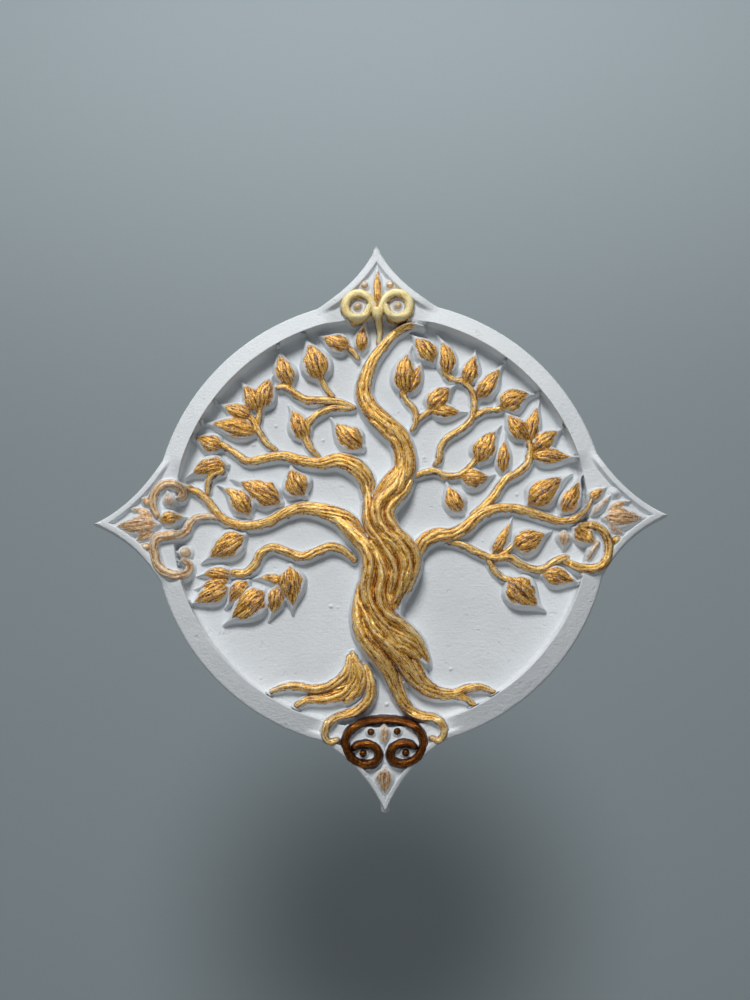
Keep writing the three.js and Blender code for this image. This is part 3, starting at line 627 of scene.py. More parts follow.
def rim(name, start, first, last):
    """A quarter of the rim, from one tip to the next, with half of the panel of each point."""
    angles = np.linspace(0, 90, 331)
    off = np.minimum(angles, 90 - angles)
    blunt, border, shoulder = (np.where(angles < 45, t[first], t[last]) for t in (BLUNT, BORDER, SHOULDER))
    o = outer_reach(off, blunt)
    flat = np.zeros(angles.shape)
    shares = np.linspace(0, 1, PANEL_ROWS + 2)[1:]
    # Both profiles go from the outline inwards: distance from the centre, and height over the back.
    round_rows = [(o, 5.97), (o, 7.6), (o, 8.9), (o - 0.14, 9.5), (o - 0.5, 9.9), (o - 1.0, 10.12),
                  (o - 1.7, 10.38), (o - 2.3, 10.61), (o - 2.9, 10.84)]
    round_rows += [(lerp(o - 2.9, 65.35, t), lerp(10.84, 12.0, t)) for t in shares]
    round_rows += [(65.12, 11.85), (65.05, 10.6), (64.95, 7.4), (64.4, 6.25), (62.7, 5.85)]

    def edge(inset, share=1.0, drop=0.0):
        reach = np.minimum(side_reach(off, inset * border), o - 0.8 * inset)
        return reach, SLAB + share * (FOOT - SLAB + crest_rise(reach)) - drop

    point_rows = [(o, 5.97), edge(0.0, 0.42), edge(0.15, 0.74), edge(0.5, 0.93), edge(1.4, 0.98), edge(2.3),
                  edge(2.7, 1.0, 0.16), edge(3.05, 1.0, 0.9), edge(3.6, 1.0, PANEL_DROP)]
    inner = side_reach(off, 3.6 * border)
    for t in shares:
        reach = lerp(inner, LIP_R, t)
        point_rows.append((reach, FOOT + panel_rise(reach)))
    point_rows += [(65.1, 10.1), (65.0, 9.2), (64.9, 7.2), (64.3, 6.25), (62.7, 5.85)]

    share = 1 - smoothstep(off, shoulder - SHOULDER_BLEND, shoulder + SHOULDER_BLEND)
    grids = [np.array([[r + flat, h + flat] for r, h in table]) for table in (round_rows, point_rows)]
    shape = between(lerp(grids[0], grids[1], share))
    reach, height = np.minimum(shape[:, 0], o), shape[:, 1]
    turn = np.radians(start + angles)
    waver = noise(reach * np.cos(turn) / 3, reach * np.sin(turn) / 3, 4) - 0.5
    height = height + np.where(height > 7.5, 0.10 * waver, 0.0)
    points = around(start + angles, reach, np.minimum(height, FOOT + RIM_RISE))
    count, wide = points.shape[:2]
    number = np.arange(count * wide).reshape(count, wide)
    ring = np.vstack([number, number[:1]])
    faces = quads(ring[1:, :-1], ring[1:, 1:], ring[:-1, 1:], ring[:-1, :-1])
    faces += [number[:, 0].tolist(), number[::-1, -1].tolist()]
    made = new_object(name + "_cast", points.reshape(-1, 3), faces, PLASTER)
    outward(made.data, 38)
    place(made, [name])


def outward(mesh, sharp):
    """Turns the faces of a closed mesh out, and keeps edges over sharp degrees crisp."""
    bm = bmesh.new()
    bm.from_mesh(mesh)
    bmesh.ops.recalc_face_normals(bm, faces=bm.faces)
    bm.to_mesh(mesh)
    bm.free()
    mesh.set_sharp_from_angle(angle=math.radians(sharp))


def plate():
    """The slab: a slightly uneven floor, straight sides and a flat back with the hanging recess."""
    turns = 720
    angles = np.arange(turns) * 360 / turns
    off = np.minimum(angles % 90, 90 - angles % 90)
    upright = np.where(angles < 180, BLUNT["top"], BLUNT["bottom"])
    o = outer_reach(off, np.where(np.abs(angles % 180 - 90) < 45, upright, BLUNT["side"]))
    flat = np.zeros(turns)
    front = [(r + flat, SLAB + flat) for r in np.linspace(1.5, 63.3, 42)]
    front += [(o - 0.6, SLAB - 0.06 + flat), (o - 0.1, SLAB - 0.06 + flat)]
    sides = [(o, 5.82 + flat), (o, 3.4 + flat), (o, 0.9 + flat), (o - 0.2, 0.32 + flat), (o - 0.8, flat)]
    shares = [1, 0.8, 0.6, 0.4, 0.25, 0.16, 0.14, 0.12, 0.1, 0.08, 0.06, 0.04, 0.02]
    back = [(lerp(63.6, o - 1.2, t), flat) for t in shares]
    back += [(r + flat, flat) for r in [*np.arange(63.6, 46, -0.55), 42, 36, 28, 20, 12, 5]]
    reach = np.array([r for r, _ in front + sides + back])
    height = np.array([h for _, h in front + sides + back])
    turn = np.radians(angles)
    x, z = reach * np.cos(turn), reach * np.sin(turn)
    top, under = len(front), len(front) + len(sides)
    uneven = 0.14 * (noise(x / 11, z / 11, 1) - 0.5) + 0.05 * (noise(x / 2.2, z / 2.2, 2) - 0.5)
    height[:top - 2] += uneven[:top - 2]
    bx, bz = x[under:], z[under:]
    sunk = smoothstep(POCKET["width"] / 2 + 0.2 - np.abs(bx), 0, 0.7)
    sunk = sunk * smoothstep(POCKET["height"] / 2 + 0.2 - np.abs(bz - POCKET["z"]), 0, 0.7)
    height[under:] += 0.09 * noise(bx / 5, bz / 5, 9) + POCKET["depth"] * sunk
    points = around(angles, reach, height).reshape(-1, 3)
    count = len(reach)
    number = np.arange(count * turns).reshape(count, turns)
    ahead = np.roll(number, -1, axis=1)
    faces = quads(number[:-1], number[1:], ahead[1:], ahead[:-1])
    pole = len(points)
    faces += [[pole, a, b] for a, b in zip(number[0].tolist(), ahead[0].tolist())]
    faces += [[pole + 1, b, a] for a, b in zip(number[-1].tolist(), ahead[-1].tolist())]
    points = np.vstack([points, [[0, -SLAB, 0], [0, -0.05, 0]]])
    made = new_object("back_plate_cast", points, faces, PLASTER)
    outward(made.data, 38)
    place(made, ["back_plate"])


LOOP_HALF = 4.6
LOOP_FOOT = POCKET["z"] - 4.6
WIRE_SHOWN_R = 0.66  # a little under WIRE_R, so that the wire stays inside the CAD's


def hanging_wire():
    """A loop of bent wire with both feet set into the recess."""
    lie, crest, end = 0.95, POCKET["z"] + 2.4, -POCKET["depth"] + WIRE_R + 0.1
    left = [(-LOOP_HALF, end, LOOP_FOOT), (-LOOP_HALF, -lie, LOOP_FOOT + 0.9),
            (-LOOP_HALF, -lie, crest - 0.44 * LOOP_HALF)]
    right = [(-x, y, z) for x, y, z in reversed(left)]
    crown = []
    for t in (-0.8, 0, 0.8):
        crown.append((LOOP_HALF * math.sin(t), -lie, crest + LOOP_HALF * (0.9 * math.cos(t) - 0.4)))
    path = centripetal([*left, *crown, *right], 0.25)
    sides = 18
    ahead = np.gradient(path, axis=0)
    ahead /= np.linalg.norm(ahead, axis=1)[:, None]
    frames = [np.cross(ahead[0], [1.0, 0, 0])]
    for direction in ahead[1:]:
        across = frames[-1] - direction * (frames[-1] @ direction)
        frames.append(across / np.linalg.norm(across))
    across = np.array(frames)
    beside = np.cross(ahead, across)
    turn = np.linspace(0, 2 * math.pi, sides, endpoint=False)[:, None, None]
    ring = path + WIRE_SHOWN_R * (np.cos(turn) * across + np.sin(turn) * beside)
    points = ring.transpose(1, 0, 2).reshape(-1, 3)
    number = np.arange(len(points)).reshape(len(path), sides)
    step = np.roll(number, -1, axis=1)
    faces = quads(number[:-1], step[:-1], step[1:], number[1:])
    faces += [number[0].tolist(), number[-1].tolist()]
    made = new_object("hanging_wire_bent", points, faces, WIRE)
    outward(made.data, 50)
    place(made, ["hanging_wire"])


def wire_settings():
    """The two lumps of plaster that hold the feet of the wire."""
    rings, turns = 14, 30
    verts, faces = [], []
    for x0 in (-LOOP_HALF, LOOP_HALF):
        first = len(verts)
        for i in range(1, rings):
            share = i / (rings - 1)
            depth = -POCKET["depth"] - 0.15 + 1.55 * (1 - share**2.4)
            for k in range(turns):
                a = 2 * math.pi * k / turns
                lumpy = 1 + 0.14 * math.sin(3 * a + x0) + 0.07 * math.sin(5 * a)
                reach = 2.5 * lumpy * share
                verts.append((x0 + reach * math.cos(a), depth, LOOP_FOOT + 0.75 * reach * math.sin(a)))
        number = np.arange(first, len(verts)).reshape(rings - 1, turns)
        step = np.roll(number, -1, axis=1)
        faces += quads(number[:-1], step[:-1], step[1:], number[1:])
        faces += [number[0].tolist(), number[-1].tolist()]
    made = new_object("wire_settings_cast", verts, faces, PLASTER)
    outward(made.data, 60)
    place(made, [])


plate()
rim("rim_top_right", 0, "side", "top")
rim("rim_top_left", 90, "top", "side")
rim("rim_bottom_left", 180, "side", "bottom")
rim("rim_bottom_right", 270, "bottom", "side")
hanging_wire()
wire_settings()


# ---------- the relief: x and z in millimetres, pieces by the name of the CAD node ----------
def cord(text, groove=0.75, **look):
    """A strand of the trunk's bundle, with two ridges."""
    return strand(text, ridges=2, groove=groove, **look)


def both_sides(text, **look):
    """A strand, and the same strand on the other side of the plaque's middle."""
    split = (row.split(maxsplit=1) for row in text.split(","))
    mirrored = ", ".join(f"{-float(x)} {rest}" for x, rest in split)
    return [strand(text, **look), strand(mirrored, **look)]


def painted(material):
    """A function that makes pieces in one paint, each in place of a CAD node; text is a plain strand."""

    def piece(node, *given):
        shapes = [strand(shape) if isinstance(shape, str) else shape for shape in given]
        relief(node + "_cast", shapes, material, [node])

    return piece


gold = painted(GOLD)
bright_gold = painted(BRIGHT)
bronze_gold = painted(BRONZE)
pale_gold = painted(PALE)

gold(
    "trunk",
    strand(
        "-0.7 3.4 4 5.6, 0.3 -3 5.2 6, 2 -8.5 7.2 6.2, 2.5 -14 8 6.4, 1.8 -20 7.6 6.2, 0.4 -24 6.8 5.6",
        ridges=5, twist=0.03, groove=0.75,
    ),
    strand(
        "1.8 -18 7 5.8, -0.6 -26 7.2 6.4, -1.2 -31 7.2 6.4, 0.6 -37 7.6 6.2, 4.2 -42.5 7.2 5.2, "
        "6.8 -47 5 3.6",
        ridges=5, twist=0.03, gold=0.6, groove=0.75,
    ),
    cord(
        "7.6 20 0.5 4.6, 7 15 1.6 5.8, 5 9.5 2.6 7, 0.1 5.1 2.6 7.6, -1.2 1.9 2.6 8, -0.7 -1.9 2.7 8.3, "
        "1.2 -5 2.8 8.5, 4.8 -8.3 2.9 8.6, 7.3 -12.1 2.9 8.6, 7.9 -15.8 2.8 8.5, 6.9 -20.2 2.3 8.2, "
        "4.9 -24.6 1.5 7, 2.4 -28.6 0.8 5.4",
        fade=(0, 0.16),
    ),
    cord(
        "9.6 16 0.4 3.4, 9.6 12 0.9 4.4, 7.8 8.3 1.3 5.4, 5.1 5.6 1.6 6.6, 2.7 2.5 1.8 7.2, "
        "2.9 -0.7 1.9 7.6, 4.6 -4.5 2 7.8, 8 -7.7 2 7.8, 10.3 -11.5 1.9 7.6, 10.3 -15.9 1.9 7.2, "
        "8.8 -20.2 1.6 6.8, 6.3 -24.8 1.2 6, 3.4 -29 0.6 4.6",
        fade=(0, 0.2),
    ),
    cord(
        "-4.6 11 0.5 4.4, -3.8 8 1 5.4, -4 5 1.6 6.4, -4.2 2 1.7 6.8, -4 -1.2 1.8 7.2, -2.4 -5 1.9 7.6, "
        "0 -8.2 1.9 8, 2.5 -12 1.9 8.2, 4 -16.4 1.8 8.2, 3.4 -20.7 1.5 7.8, 2.7 -23.2 1 7",
        groove=1.0,
    ),
    cord(
        "-16.5 2.4 0.6 4, -12.8 -0.8 1.6 5.2, -9.4 -4.3 2.2 6.2, -5.7 -8.1 2.6 7.2, -3.8 -11.9 2.6 7.8, "
        "-3.9 -16.9 2.5 8, -4.6 -20.6 2.3 8, -4.5 -25 2.2 8, -2.3 -30 2.2 8.2, 0.7 -34.3 2.2 8, "
        "4.3 -38.7 2.2 7.6, 9.1 -42.4 1.9 6.6, 13 -45.6 0.8 4.2",
        fade=(0, 0.06),
    ),
    cord(
        "-3.2 -8.1 1.4 7, -0.8 -13.2 1.7 7.8, 0.3 -18.2 1.9 8.2, -0.7 -23.2 2 8.4, -0.2 -27.5 2.1 8.4, "
        "2.6 -31.3 2.2 8.2, 6.8 -34.4 2 7.6, 10.5 -38.2 1.8 6.8, 12.4 -41.6 1.3 5.2, 13.7 -44.2 0.8 3.6, "
        "14.5 -46.4 0.3 1.8",
        fade=(0, 0.05),
    ),
    cord(
        "-7 -20.5 0.5 5, -7.6 -25 1.2 6, -7.7 -29.6 2 6.8, -6.6 -34.8 2.6 7.8, -4.3 -39.2 2.7 8.2, "
        "-1 -43.5 2.6 7.8, 1.9 -47.8 2.4 6.4, 3.6 -52.5 2 4.6, 5.8 -56.8 1.2 3",
    ),
    cord(
        "-6.6 -26.8 1 6.5, -4.4 -31.8 1.8 7.8, -1.2 -36.8 2.2 8.3, 3 -41.1 2.5 8.2, 6.4 -45.2 2.7 7.2, "
        "9.4 -49.4 2.7 5.8, 13 -52.4 2.2 4.2, 17.5 -54.4 1.3 3",
    ),
    cord(
        "-0.5 -33.1 1 7.2, 4.3 -36.2 1.5 7.4, 9.2 -39.4 1.6 6.8, 12 -42.4 1.2 5.2, 13.4 -45.2 0.6 3.4",
        fade=(0, 0.25),
    ),
)
gold(
    "leader",
    strand(
        "-0.5 4.2 3.4, 3.2 10.2 3.8, 7.5 15.2 3.8, 7.7 20.5 3.6, 5.8 26 3.6, 1.1 30.9 3.5, -3.1 35.9 3, "
        "-4.8 41 2.6, -4 46 2.3, -1.7 51.4 1.9, 2 56.5 1.6, 5.9 60.5 1.3, 10.5 62.2 1, 14.5 61.8 0.6",
        ridges=3, fade=(0, 0.08), groove=0.8,
    ),
)
gold(
    "root_right_outer",
    "7.4 -44.5 3.6, 9.5 -48 3.4, 12 -51.8 2.9, 16.5 -54.3 2.2, 21.5 -54.7 1.6, 26 -53.2 1.3, 30 -52.9 1.1, "
    "34 -54.2 0.6",
    "20.5 -55 1.2, 25.5 -56.3 1, 27.4 -58 0.8",
)
gold(
    "root_right_curl",
    "3 -45.5 2.4, 3.4 -49 2.4, 4.6 -54 2.2, 7 -58.5 1.8, 11 -61.2 1.5, 15.2 -62 1.4, 17.8 -64.3 1.2, "
    "18.1 -67 1.1, 16.6 -69 1, 14.4 -68.2 0.9",
)
gold(
    "root_left_outer",
    "-10.2 -43 1, -11.4 -47.5 1.5, -15.5 -51.3 1.5, -21 -52.7 1.4, -26 -51.8 1.3, -30 -51.7 1.1, "
    "-34.5 -53.1 0.6",
)
gold(
    "root_left_spur",
    "-7.8 -44.5 1.1, -8.7 -50 1.5, -12.5 -54.4 1.5, -18 -55.9 1.4, -23.3 -55.9 1.2, -26.6 -57.4 0.9",
    "-9 -43.4 1.2, -6.6 -48.3 1.7, -7.6 -53.1 1.6, -11.3 -56.1 1.2",
    strand(
        "-9.4 -41.6 0.7 2.6, -8.6 -46 2.4 3.2, -8.2 -50 3.7 3, -11 -53 3.4 2.6, -16 -54 2.7 2.1, "
        "-21.5 -54.1 2.1 1.7",
        ridges=6, groove=1.3,
    ),
)
gold(
    "root_left_curl",
    "-5.3 -46 1, -3.8 -51 1.6, -4.6 -56 1.7, -8.8 -59.7 1.5, -14 -61.2 1.3, -17.2 -63.5 1.2, -18.1 -67 1.1, "
    "-16.6 -69 1, -14.4 -68.4 0.9",
)
gold(
    "branch_upper_left",
    "-3.9 7.5 2, -4.3 12.1 2.8, -7.7 16.6 3, -13 18.9 2.6, -19 18.1 1.9, -25 19.2 1.8, -31 20.9 1.6, "
    "-37 20 1.4, -42 19.4 1.2, -45.9 22.1 1.1, -49.9 24.8 1",
    leaf((-59.2, 27.3), (-49.7, 23.8), 6),
)
gold(
    "branch_middle_left",
    strand(
        "-6.8 -5.6 2.6, -9.5 -1.8 3.2, -13.7 1.1 3, -19.2 3.1 2.4, -24.9 3.9 2, -29.8 2.5 1.8, "
        "-35.9 -0.5 1.6, -42 -1.4 1.5, -47.2 -0.4 1.4, -50.8 2.1 1.3, -54.1 6.4 1.2, -57.5 9.5 1.1, "
        "-60.5 11 1",
        ridges=4, twist=0.03,
    ),
)
gold(
    "branch_lower_left",
    "-8.6 -12.6 1, -12.6 -9.3 1.4, -16 -8.5 1.5, -20.2 -10 1.5, -25 -11.5 1.5, -30.1 -9.6 1.4, "
    "-34 -8.4 1.4, -37.6 -10.1 1.4, -39.5 -13.7 1.4, -42.4 -16.3 1.3, -46 -16.3 1.3",
)
gold(
    "branch_right",
    "11.6 -10.8 1.8, 13.2 -7.6 2.4, 17.2 -5.5 2.4, 22.1 -5.3 2.2, 26.2 -3.3 2.1, 30.1 0.1 1.9, 34 2.2 1.7, "
    "40 3 1.5, 46 1.9 1.5, 51 0.1 1.4, 56 -1.4 1.3, 60 -1.2 1.2, 63.2 0.6 0.9, 65 2.6 0.7, 66 4.8 0.5",
)
gold(
    "branch_right_fork",
    "29.2 1 1.1, 32.6 3.7 1.4, 36.1 7.3 1.4, 37.7 10 1.3, 39.8 12.3 1.3, 43.6 14.3 1.3, 46.9 17.6 1.2, "
    "47.7 21.5 1.1, 47.3 24.5 0.8",
    leaf((40.1, 34.1), (46.4, 24.9), 6),
    leaf((50.9, 36.8), (46.7, 23.8), 5),
    leaf((58.1, 28.3), (48.5, 21.1), 5.4, -0.4),
    leaf((61.9, 18.3), (47.7, 19.1), 5.4, -0.6),
)
gold(
    "branch_right_low",
    "19.6 -7 0.8, 25.1 -8.4 1.1, 30.1 -11 1.2, 34 -12.7 1.2, 40 -12.8 1.2, 43.5 -15 1.2, 47 -16.5 1.2, "
    "50.7 -16.4 1.2, 54.3 -14.1 1.2, 57.4 -13.1 1.2",
    "36.7 -12.3 0.9, 39.5 -10.6 0.9, 41.1 -9 0.8",
    leaf((41.1, -0.4), (34.7, -11.6), 3.8, 0.4),
)
gold(
    "branch_right_small",
    "11.1 13.8 0.9, 14 14.8 1, 17 15.3 1, 21 13.7 1, 24.9 13.8 1, 27.9 15.9 1, 30.5 18.7 1",
    leaf((37.9, 29), (31.1, 17.6), 7.2, -0.6),
    leaf((35.4, 13.6), (25.6, 13), 6.2, 0.8),
)
gold(
    "scroll_right",
    strand(
        "57.2 -13.9 1.15, 59.3 -15.2 1.3, 61.9 -16.7 1.4, 65.1 -17.2 1.4, 68.5 -16 1.4, 70.4 -12.9 1.4, "
        "70.6 -8.8 1.4, 69 -5.5 1.35, 66.2 -3.6 1.25, 62.6 -3.4 1.15",
        SCROLL_RISE,
    ),
    bead(73.2, -8.3, 1.6),
    leaf((67, -10), (60.6, -3.6), 5, rise=SCROLL_RISE),
)
gold("leaf_point_left", leaf((-61.3, 1.7), (-69.1, 0.3), 4.4, rise=PALMETTE_RISE))
gold("spear_top", leaf((0.1, 82.9), (0, 68.8), 2.8, rise=0.8 * PALMETTE_RISE))
gold(
    "sprig_crown_left",
    "-6.6 52.4 0.8, -7.8 54.4 0.9, -9.6 56 0.8",
    leaf((-18.6, 59.8), (-8.8, 56.2), 6, -0.4),
)
gold(
    "sprig_top_left",
    "-8.2 36.2 0.9, -12.2 37.9 1.2, -17 38.7 1.3, -23.1 39 1.3, -27.1 41.3 1.2, -29.7 43.2 1.1, "
    "-32.1 43.2 0.9",
    "-14.9 40.1 0.8, -17.1 43.1 0.9, -18.2 45.9 0.9",
    leaf((-23.2, 58.9), (-18.4, 45.1), 8.6, 0.4),
    leaf((-31.7, 55.4), (-27.8, 43.8), 6.4, -0.6),
)
gold(
    "sprig_hook",
    "-19.6 20.6 0.8, -21.9 23.2 1.2, -23.4 27 1.2, -22.6 31 1.2, -19.4 34.2 1.2, -14.5 36.1 1.1, "
    "-8.9 36 0.8",
    leaf((-28.3, 36.7), (-23.9, 25.7), 6.4, 0.4),
)
gold(
    "sprig_fork_left",
    "-32.9 22.8 0.8, -35.8 25.1 1, -38.5 29.4 1.1, -40 32.5 1, -41.8 34.2 0.9",
    "-38.8 30.5 0.8, -38.3 33.5 0.9, -38 36.5 0.9",
    leaf((-43.6, 44.9), (-38.3, 35.5), 5.8, 0.4),
    leaf((-33.9, 47.2), (-37.7, 35.8), 7, -0.6),
    leaf((-50.8, 38), (-40.4, 33.6), 5.2),
    leaf((-55.2, 31.8), (-39, 28.4), 6.4, 0.5),
)
gold(
    "sprig_curl_left",
    "-54.5 9.3 0.8, -54.3 12.7 1, -52.8 15.2 1.1, -50.3 16.3 1.4",
    leaf((-60.6, 14.6), (-48.6, 18.2), 6, 1.2),
)
gold(
    "sprig_centre",
    "10.5 28.8 0.7, 11.7 31.2 1, 11.3 35 1, 9.1 37.9 1, 7.4 40.6 0.9",
    "12 31.4 0.7, 14.8 33.9 0.9, 17.1 35.1 0.9",
    leaf((10.4, 55.7), (8.7, 40.1), 7.2, -1.2),
    leaf((13.8, 51.5), (8.4, 40.3), 4.8, 0.6),
    leaf((24.2, 43), (15.8, 34.8), 6.6, -0.6),
    leaf((27.3, 34.3), (16.3, 35.7), 5, 0.6),
)
gold(
    "sprig_tall_right",
    "17.5 17.3 0.7, 18.7 19 1, 19.2 22.4 1, 21.4 25.8 1.1, 25.9 28.6 1.1, 29.2 31.6 1.1, 30.4 36 1.1, "
    "29.9 40.4 1, 27.5 43.7 1, 24.1 44.8 1, 21.3 46.9 0.9",
    "30.4 32.6 0.9, 33.6 34.5 0.9, 37.5 34.8 0.9, 40 35.4 0.7",
    leaf((19.7, 59), (21.5, 45.8), 5.6, 1.4),
    leaf((31.2, 54.1), (27.6, 43.1), 5.6, 0.4),
    leaf((39.5, 49.2), (31.7, 38.4), 6),
    leaf((49.5, 39.6), (38.5, 34.8), 7.4, -1.2),
)
gold("leaf_crown", leaf((-4, 64.1), (-5.4, 54.3), 4.4, -0.4))
gold("leaf_crown_right", leaf((11.1, 59.8), (17.7, 50.6), 6.8, 0.4))
gold("leaf_hook", leaf((-14.9, 32.4), (-5.4, 23.2), 7.6, -0.6))
gold("leaf_left_inner", leaf((-28.1, 17.5), (-23.9, 7.9), 8.4, -0.8))
gold(
    "leaves_left_pair",
    leaf((-50.2, 11.4), (-41.4, 1.8), 6.6, 1.2),
    leaf((-45.8, 13.3), (-31.6, 5.7), 8, 0.4),
)
gold("leaf_left_low", leaf((-55.2, -12.2), (-43, -4.4), 8))
gold(
    "leaves_left_corner",
    leaf((-57, -16.8), (-46.6, -17.2), 4.4, 0.8),
    leaf((-57.6, -20.8), (-47.6, -18.4), 3.6),
    leaf((-59.6, -25.8), (-48, -20.6), 6.2),
)
gold("leaf_left_drop", leaf((-48.4, -26.6), (-41.8, -19), 6))
gold(
    "sprig_drooping",
    leaf((-48.2, -31.6), (-36.6, -22), 8.6, -0.4),
    leaf((-39.8, -18), (-29.4, -20.6), 3, 1.2),
    leaf((-35, -30.6), (-32.6, -20.6), 5.4, -0.4),
    leaf((-27.9, -28.2), (-28.6, -14.6), 7.8),
)
gold("bud_right", leaf((39.7, 26.6), (38.7, 14), 4.4))
gold("leaf_centre_right", leaf((21.1, 11.2), (25.6, 2), 6, -0.6))
gold("leaf_right_wide", leaf((59.3, 13), (46.3, 4), 8.2, -0.4))
gold("leaf_right_outer", leaf((62.9, 12), (56.9, 1.2), 5.6, 0.4))
gold("leaf_right_cup", leaf((52.6, -4.9), (41, -9.3), 7.4, 0.2))
gold("leaf_right_low", leaf((61.2, -21.2), (50, -18.4), 6, -0.6))
gold(
    "sprig_drop_right",
    "33.4 -13.4 0.8, 35.1 -16.6 1, 37.6 -19 1, 40.8 -20.2 1",
    leaf((49.7, -28.9), (39.7, -19.3), 9.4, 0.6),
)

bright_gold(
    "scroll_top",
    strand("0.2 57.4 0.5, 0.6 60.5 0.8, 0.3 63.4 1.1, 0 66.9 1.2", wall=0.4, ridges=1, groove=0.12),
    *both_sides(
        "0.6 65.4 1.1, 1.4 68.6 1.2, 3 71.5 1.3, 5.5 72.9 1.4, 8.2 72.3 1.4, 10.1 70 1.4, 10.1 67.2 1.4, "
        "8.2 65.1 1.4, 5.5 64.7 1.4, 3.4 66.2 1.3, 2.7 68.4 1",
        rise=SCROLL_RISE, wall=0.4, ridges=1, groove=0.12,
    ),
)

bronze_gold(
    "scroll_bottom",
    *both_sides(
        "9.2 -70.5 0.8, 8 -69.9 1, 6.2 -69.6 1.15, 4 -69.9 1.15, 2.4 -71 1.15, 1.7 -72.7 1.15, "
        "2.2 -74.4 1.15, 3.8 -75.5 1.15, 6 -75.8 1.15, 8.4 -75 1.15, 10.4 -73.3 1.15, 11.6 -71.2 1.15, "
        "11.9 -69 1.15, 11.3 -66.9 1.15, 9.8 -65 1.15, 7.6 -63.6 1.15, 4.8 -62.6 1.15, 2 -62.2 1.15, "
        "-0.5 -62.15 1.15",
        rise=SCROLL_RISE, wall=0.7, ridges=1, groove=0.15,
    ),
)
bronze_gold("eye_bottom_left", bead(-6.5, -72.4, 1.1))
bronze_gold("eye_bottom_right", bead(6.5, -72.4, 1.1))

pale_gold(
    "scroll_left_upper",
    strand(
        "-69.8 1.8 1.1, -71.1 5 1.4, -70.6 8.8 1.45, -68.4 11.2 1.45, -65.5 11.8 1.4, -62.8 10.7 1.35, "
        "-61.9 8.8 1.3, -62.8 7.4 1.1",
        SCROLL_RISE,
    ),
    leaf((-75.2, 7.8), (-71.4, 5), 3, rise=SCROLL_RISE),
)
pale_gold(
    "scroll_left_lower",
    strand(
        "-50.5 1.2 0.8, -54.5 1.8 1, -58 1.4 1.2, -60 -0.4 1.3, -61 -2.9 1.35, -63.6 -4.3 1.45, "
        "-66.6 -4.8 1.5, -69.4 -5.5 1.5, -70.7 -8 1.5, -70.3 -11.2 1.5, -69.2 -14.3 1.5, -66.4 -16.5 1.45, "
        "-62.9 -17.1 1.4, -60.2 -15.9 1.3, -60 -13.7 1.2, -61.6 -12.2 1",
        SCROLL_RISE,
    ),
    bead(-73.4, -8.2, 1.6),
)
pale_gold(
    "palmette_left",
    leaf((-84.2, -1.3), (-69.4, -1.1), 6.2, rise=PALMETTE_RISE),
    leaf((-79.2, 4.6), (-71, 1), 2.8, 0.3, rise=0.7 * PALMETTE_RISE),
    leaf((-77.6, -6.4), (-70.6, -3.2), 2.8, -0.3, rise=0.7 * PALMETTE_RISE),
)
pale_gold(
    "palmette_right",
    leaf((84, -1.2), (69.4, -1.2), 6.2, rise=PALMETTE_RISE),
    leaf((78.6, 4.4), (70.8, 0.8), 2.6, -0.3, rise=0.7 * PALMETTE_RISE),
    leaf((76.2, -6.6), (70.8, -3.2), 2.6, 0.3, rise=0.7 * PALMETTE_RISE),
)
pale_gold("bead_top_left", bead(-4.1, 76, 1.4))
pale_gold("bead_top_right", bead(4.1, 76, 1.4))
pale_gold("eye_top_left", bead(-6.4, 68.8, 1.4, collar=0.1))
pale_gold("eye_top_right", bead(6.4, 68.8, 1.4, collar=0.1))
pale_gold("leaf_bottom", leaf((-0.2, -85.4), (-0.2, -77), 5.2, rise=0.8 * PALMETTE_RISE))

# Casting lumps on the floor: x, z and radius.
PIPS = [
    (-33, 31, 0.8), (-18, 26, 0.9), (6, 35, 0.7), (14, 20, 0.8), (-40, 25, 0.8), (-33, -16, 0.9),
    (43, 7.5, 0.8), (32, -7, 0.7), (21, -47, 0.9), (1, -57.5, 0.8), (-16, -27, 1.0), (-13.8, -27.4, 0.7),
    (-38, -49, 0.7),
]
CURL = "67.4 -9 0.6 1.6, 66 -10.6 0.8 2, 65 -12.4 0.8 2, 64.2 -14 0.5 1.4"

# Small pieces without a CAD node: slot, paint and shapes.
EXTRAS = {
    "bead_bottom_left": ("bronze_gold", BRONZE, [bead(-4, -66, 1)]),
    "bead_bottom_right": ("bronze_gold", BRONZE, [bead(4, -66, 1)]),
    "petal_bottom": ("pale_gold", PALE, [leaf((0, -70.8), (0, -63.8), 3, rise=1.6)]),
    "bead_point_right": ("white_plaster", PALE, [bead(73.4, 6.6, 1.4, gold=0.2)]),
    "bud_scroll_left": ("pale_gold", PALE, [leaf((-66.8, 9.6), (-65.4, 4.4), 3.4, gold=0.72)]),
    "curl_scroll_right": ("pale_gold", PALE, [strand(CURL, wall=0.7, ridges=1, gold=0.8)]),
    "bud_right_tip": ("gold", GOLD, [leaf((70.4, 8.4), (65.2, 4.6), 3.4)]),
    "twig_point_right": ("pale_gold", PALE, [leaf((72.4, 6.4), (65.8, -0.4), 2.2, gold=0.7)]),
    "bud_right_pale": ("pale_gold", PALE, [leaf((57, -10.5), (57.5, -4.6), 4, gold=0.7)]),
    "knob_scroll_left": ("pale_gold", PALE, [bead(-61.2, -9.6, 1.7, 2.4)]),
    "bead_root_left": ("pale_gold", PALE, [bead(-14.5, -68.3, 1, 1.4)]),
    "bead_root_right": ("pale_gold", PALE, [bead(14.6, -67.9, 1, 1.4)]),
    "floor_pips": ("white_plaster", PLASTER, [pip(x, z, r, 0.85 * r) for x, z, r in PIPS]),
}
for name, (slot, material, shapes) in EXTRAS.items():
    relief(name + "_cast", shapes, material)


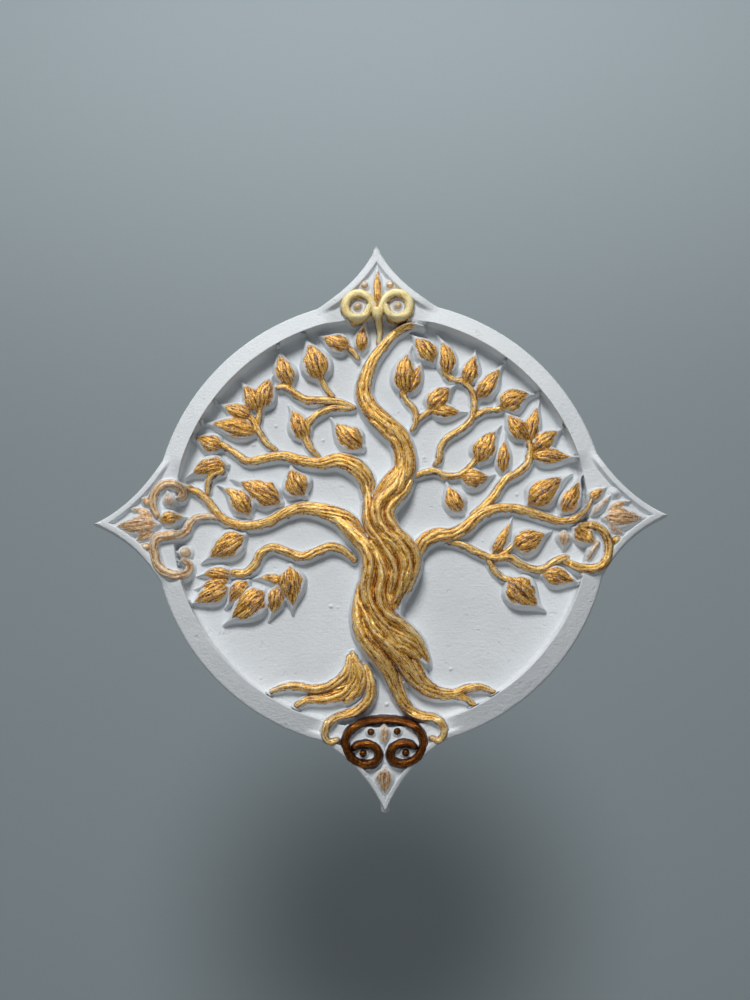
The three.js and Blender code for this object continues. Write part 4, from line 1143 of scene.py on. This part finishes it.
# ---------- stage, light and camera ----------
def wall_with_painted_shadow():
    """Grey-blue wall with painted light, lighter higher up, and a painted shadow darkest low behind the
    plaque.
    """
    s = Shader("wall_with_painted_shadow")
    coords = s.add("TexCoord", 3)
    # Painted light: the wall's colour is lighter higher up.
    tone = s.remap(s.add("SeparateXYZ", 1, Vector=coords), -0.1, 0.6)
    colour = s.blend(tone, (0.39, 0.456, 0.48), (0.54, 0.628, 0.665))
    # A painted shadow of the plaque, darkest low behind it.
    from_painted_shadow = s.add("VectorMath", 1, {"operation": "DISTANCE"}, i0=coords, i1=(0.0, -0.66, 0))
    colour = s.blend(s.remap(from_painted_shadow, 0.05, 0.36, 0.7, 0.0), colour, (0.03, 0.042, 0.044))
    return s.finish(Base_Color=colour, Roughness=0.85, Normal=s.bump(s.grain(40, 3), 0.2, 0.002))


def pale_floor():
    s = Shader("pale_floor")
    colour = s.blend(s.grain(8, 4), (0.66, 0.67, 0.68), (0.72, 0.73, 0.74))
    return s.finish(Base_Color=colour, Roughness=0.7)


def sheet(name, material, tilt, at, half):
    """A square of the studio, level or tilted up by so many degrees."""
    mesh = bpy.data.meshes.new(name)
    corners = [(-half, -half, 0), (half, -half, 0), (half, half, 0), (-half, half, 0)]
    mesh.from_pydata(corners, [], [(0, 1, 2, 3)])
    mesh.materials.append(material)
    made = in_scene(name, mesh)
    made.matrix_world = Matrix.Translation(at) @ Matrix.Rotation(math.radians(tilt), 4, "X")


def light(name, at, towards, size, power):
    """A round white area light, in metres and watts."""
    data = bpy.data.lights.new(name, "AREA")
    data.shape = "DISK"
    data.size, data.energy = size, power
    aim = (Vector(towards) - Vector(at)).to_track_quat("-Z", "Y")
    in_scene(name, data).matrix_world = Matrix.Translation(at) @ aim.to_matrix().to_4x4()


CAMERA_DISTANCE = 0.473
CAMERA_RISE = math.radians(-9.5)
CAMERA_ROLL = math.radians(0.9)
CAMERA_SHIFT = (5.8 / 1500, -20.3 / 1500)  # how far off the middle it looks, as a share of the distance


def camera():
    """The photograph's viewing angle: a little below the middle, looking up, and turned by a degree."""
    aim = Vector((0, -0.006, 0))
    at = aim + CAMERA_DISTANCE * Vector((0, -math.cos(CAMERA_RISE), math.sin(CAMERA_RISE)))
    ahead = (aim - at).normalized()
    side = Vector((1, 0, 0))
    up = side.cross(ahead)
    right = side * math.cos(CAMERA_ROLL) - up * math.sin(CAMERA_ROLL)
    over = side * math.sin(CAMERA_ROLL) + up * math.cos(CAMERA_ROLL)
    ahead = (ahead - CAMERA_SHIFT[0] * right - CAMERA_SHIFT[1] * over).normalized()
    right = (right - ahead * right.dot(ahead)).normalized()
    up = right.cross(ahead)
    turn = Matrix((right, up, -ahead)).transposed().to_4x4()
    data = bpy.data.cameras.new("camera")
    data.sensor_fit, data.sensor_height, data.lens = "VERTICAL", 36.0, 54.0
    data.clip_start = 0.01
    made = in_scene("camera", data)
    made.matrix_world = Matrix.Translation(at) @ turn
    bpy.context.scene.camera = made


def world():
    made = bpy.data.worlds.new("studio")
    made.use_nodes = True
    made.node_tree.nodes["Background"].inputs["Color"].default_value = (0.80, 0.88, 0.95, 1)
    made.node_tree.nodes["Background"].inputs["Strength"].default_value = 0.08
    bpy.context.scene.world = made


sheet("floor", pale_floor(), 0, (0, 0, -1.1), 3.0)
sheet("backdrop", wall_with_painted_shadow(), 90, (0, 1.5, 0.4), 2.6)
light("key", (-0.22, -1.02, 0.9), (0, 0, 0), 0.5, 15)
light("front_fill", (0.35, -1.6, -0.1), (0, 0, 0), 1.4, 0.5)
light("wall_wash", (0, 0.1, 1.5), (0, 1.5, 0.3), 1.2, 11)
world()
camera()
bpy.context.scene.view_settings.view_transform = "Standard"
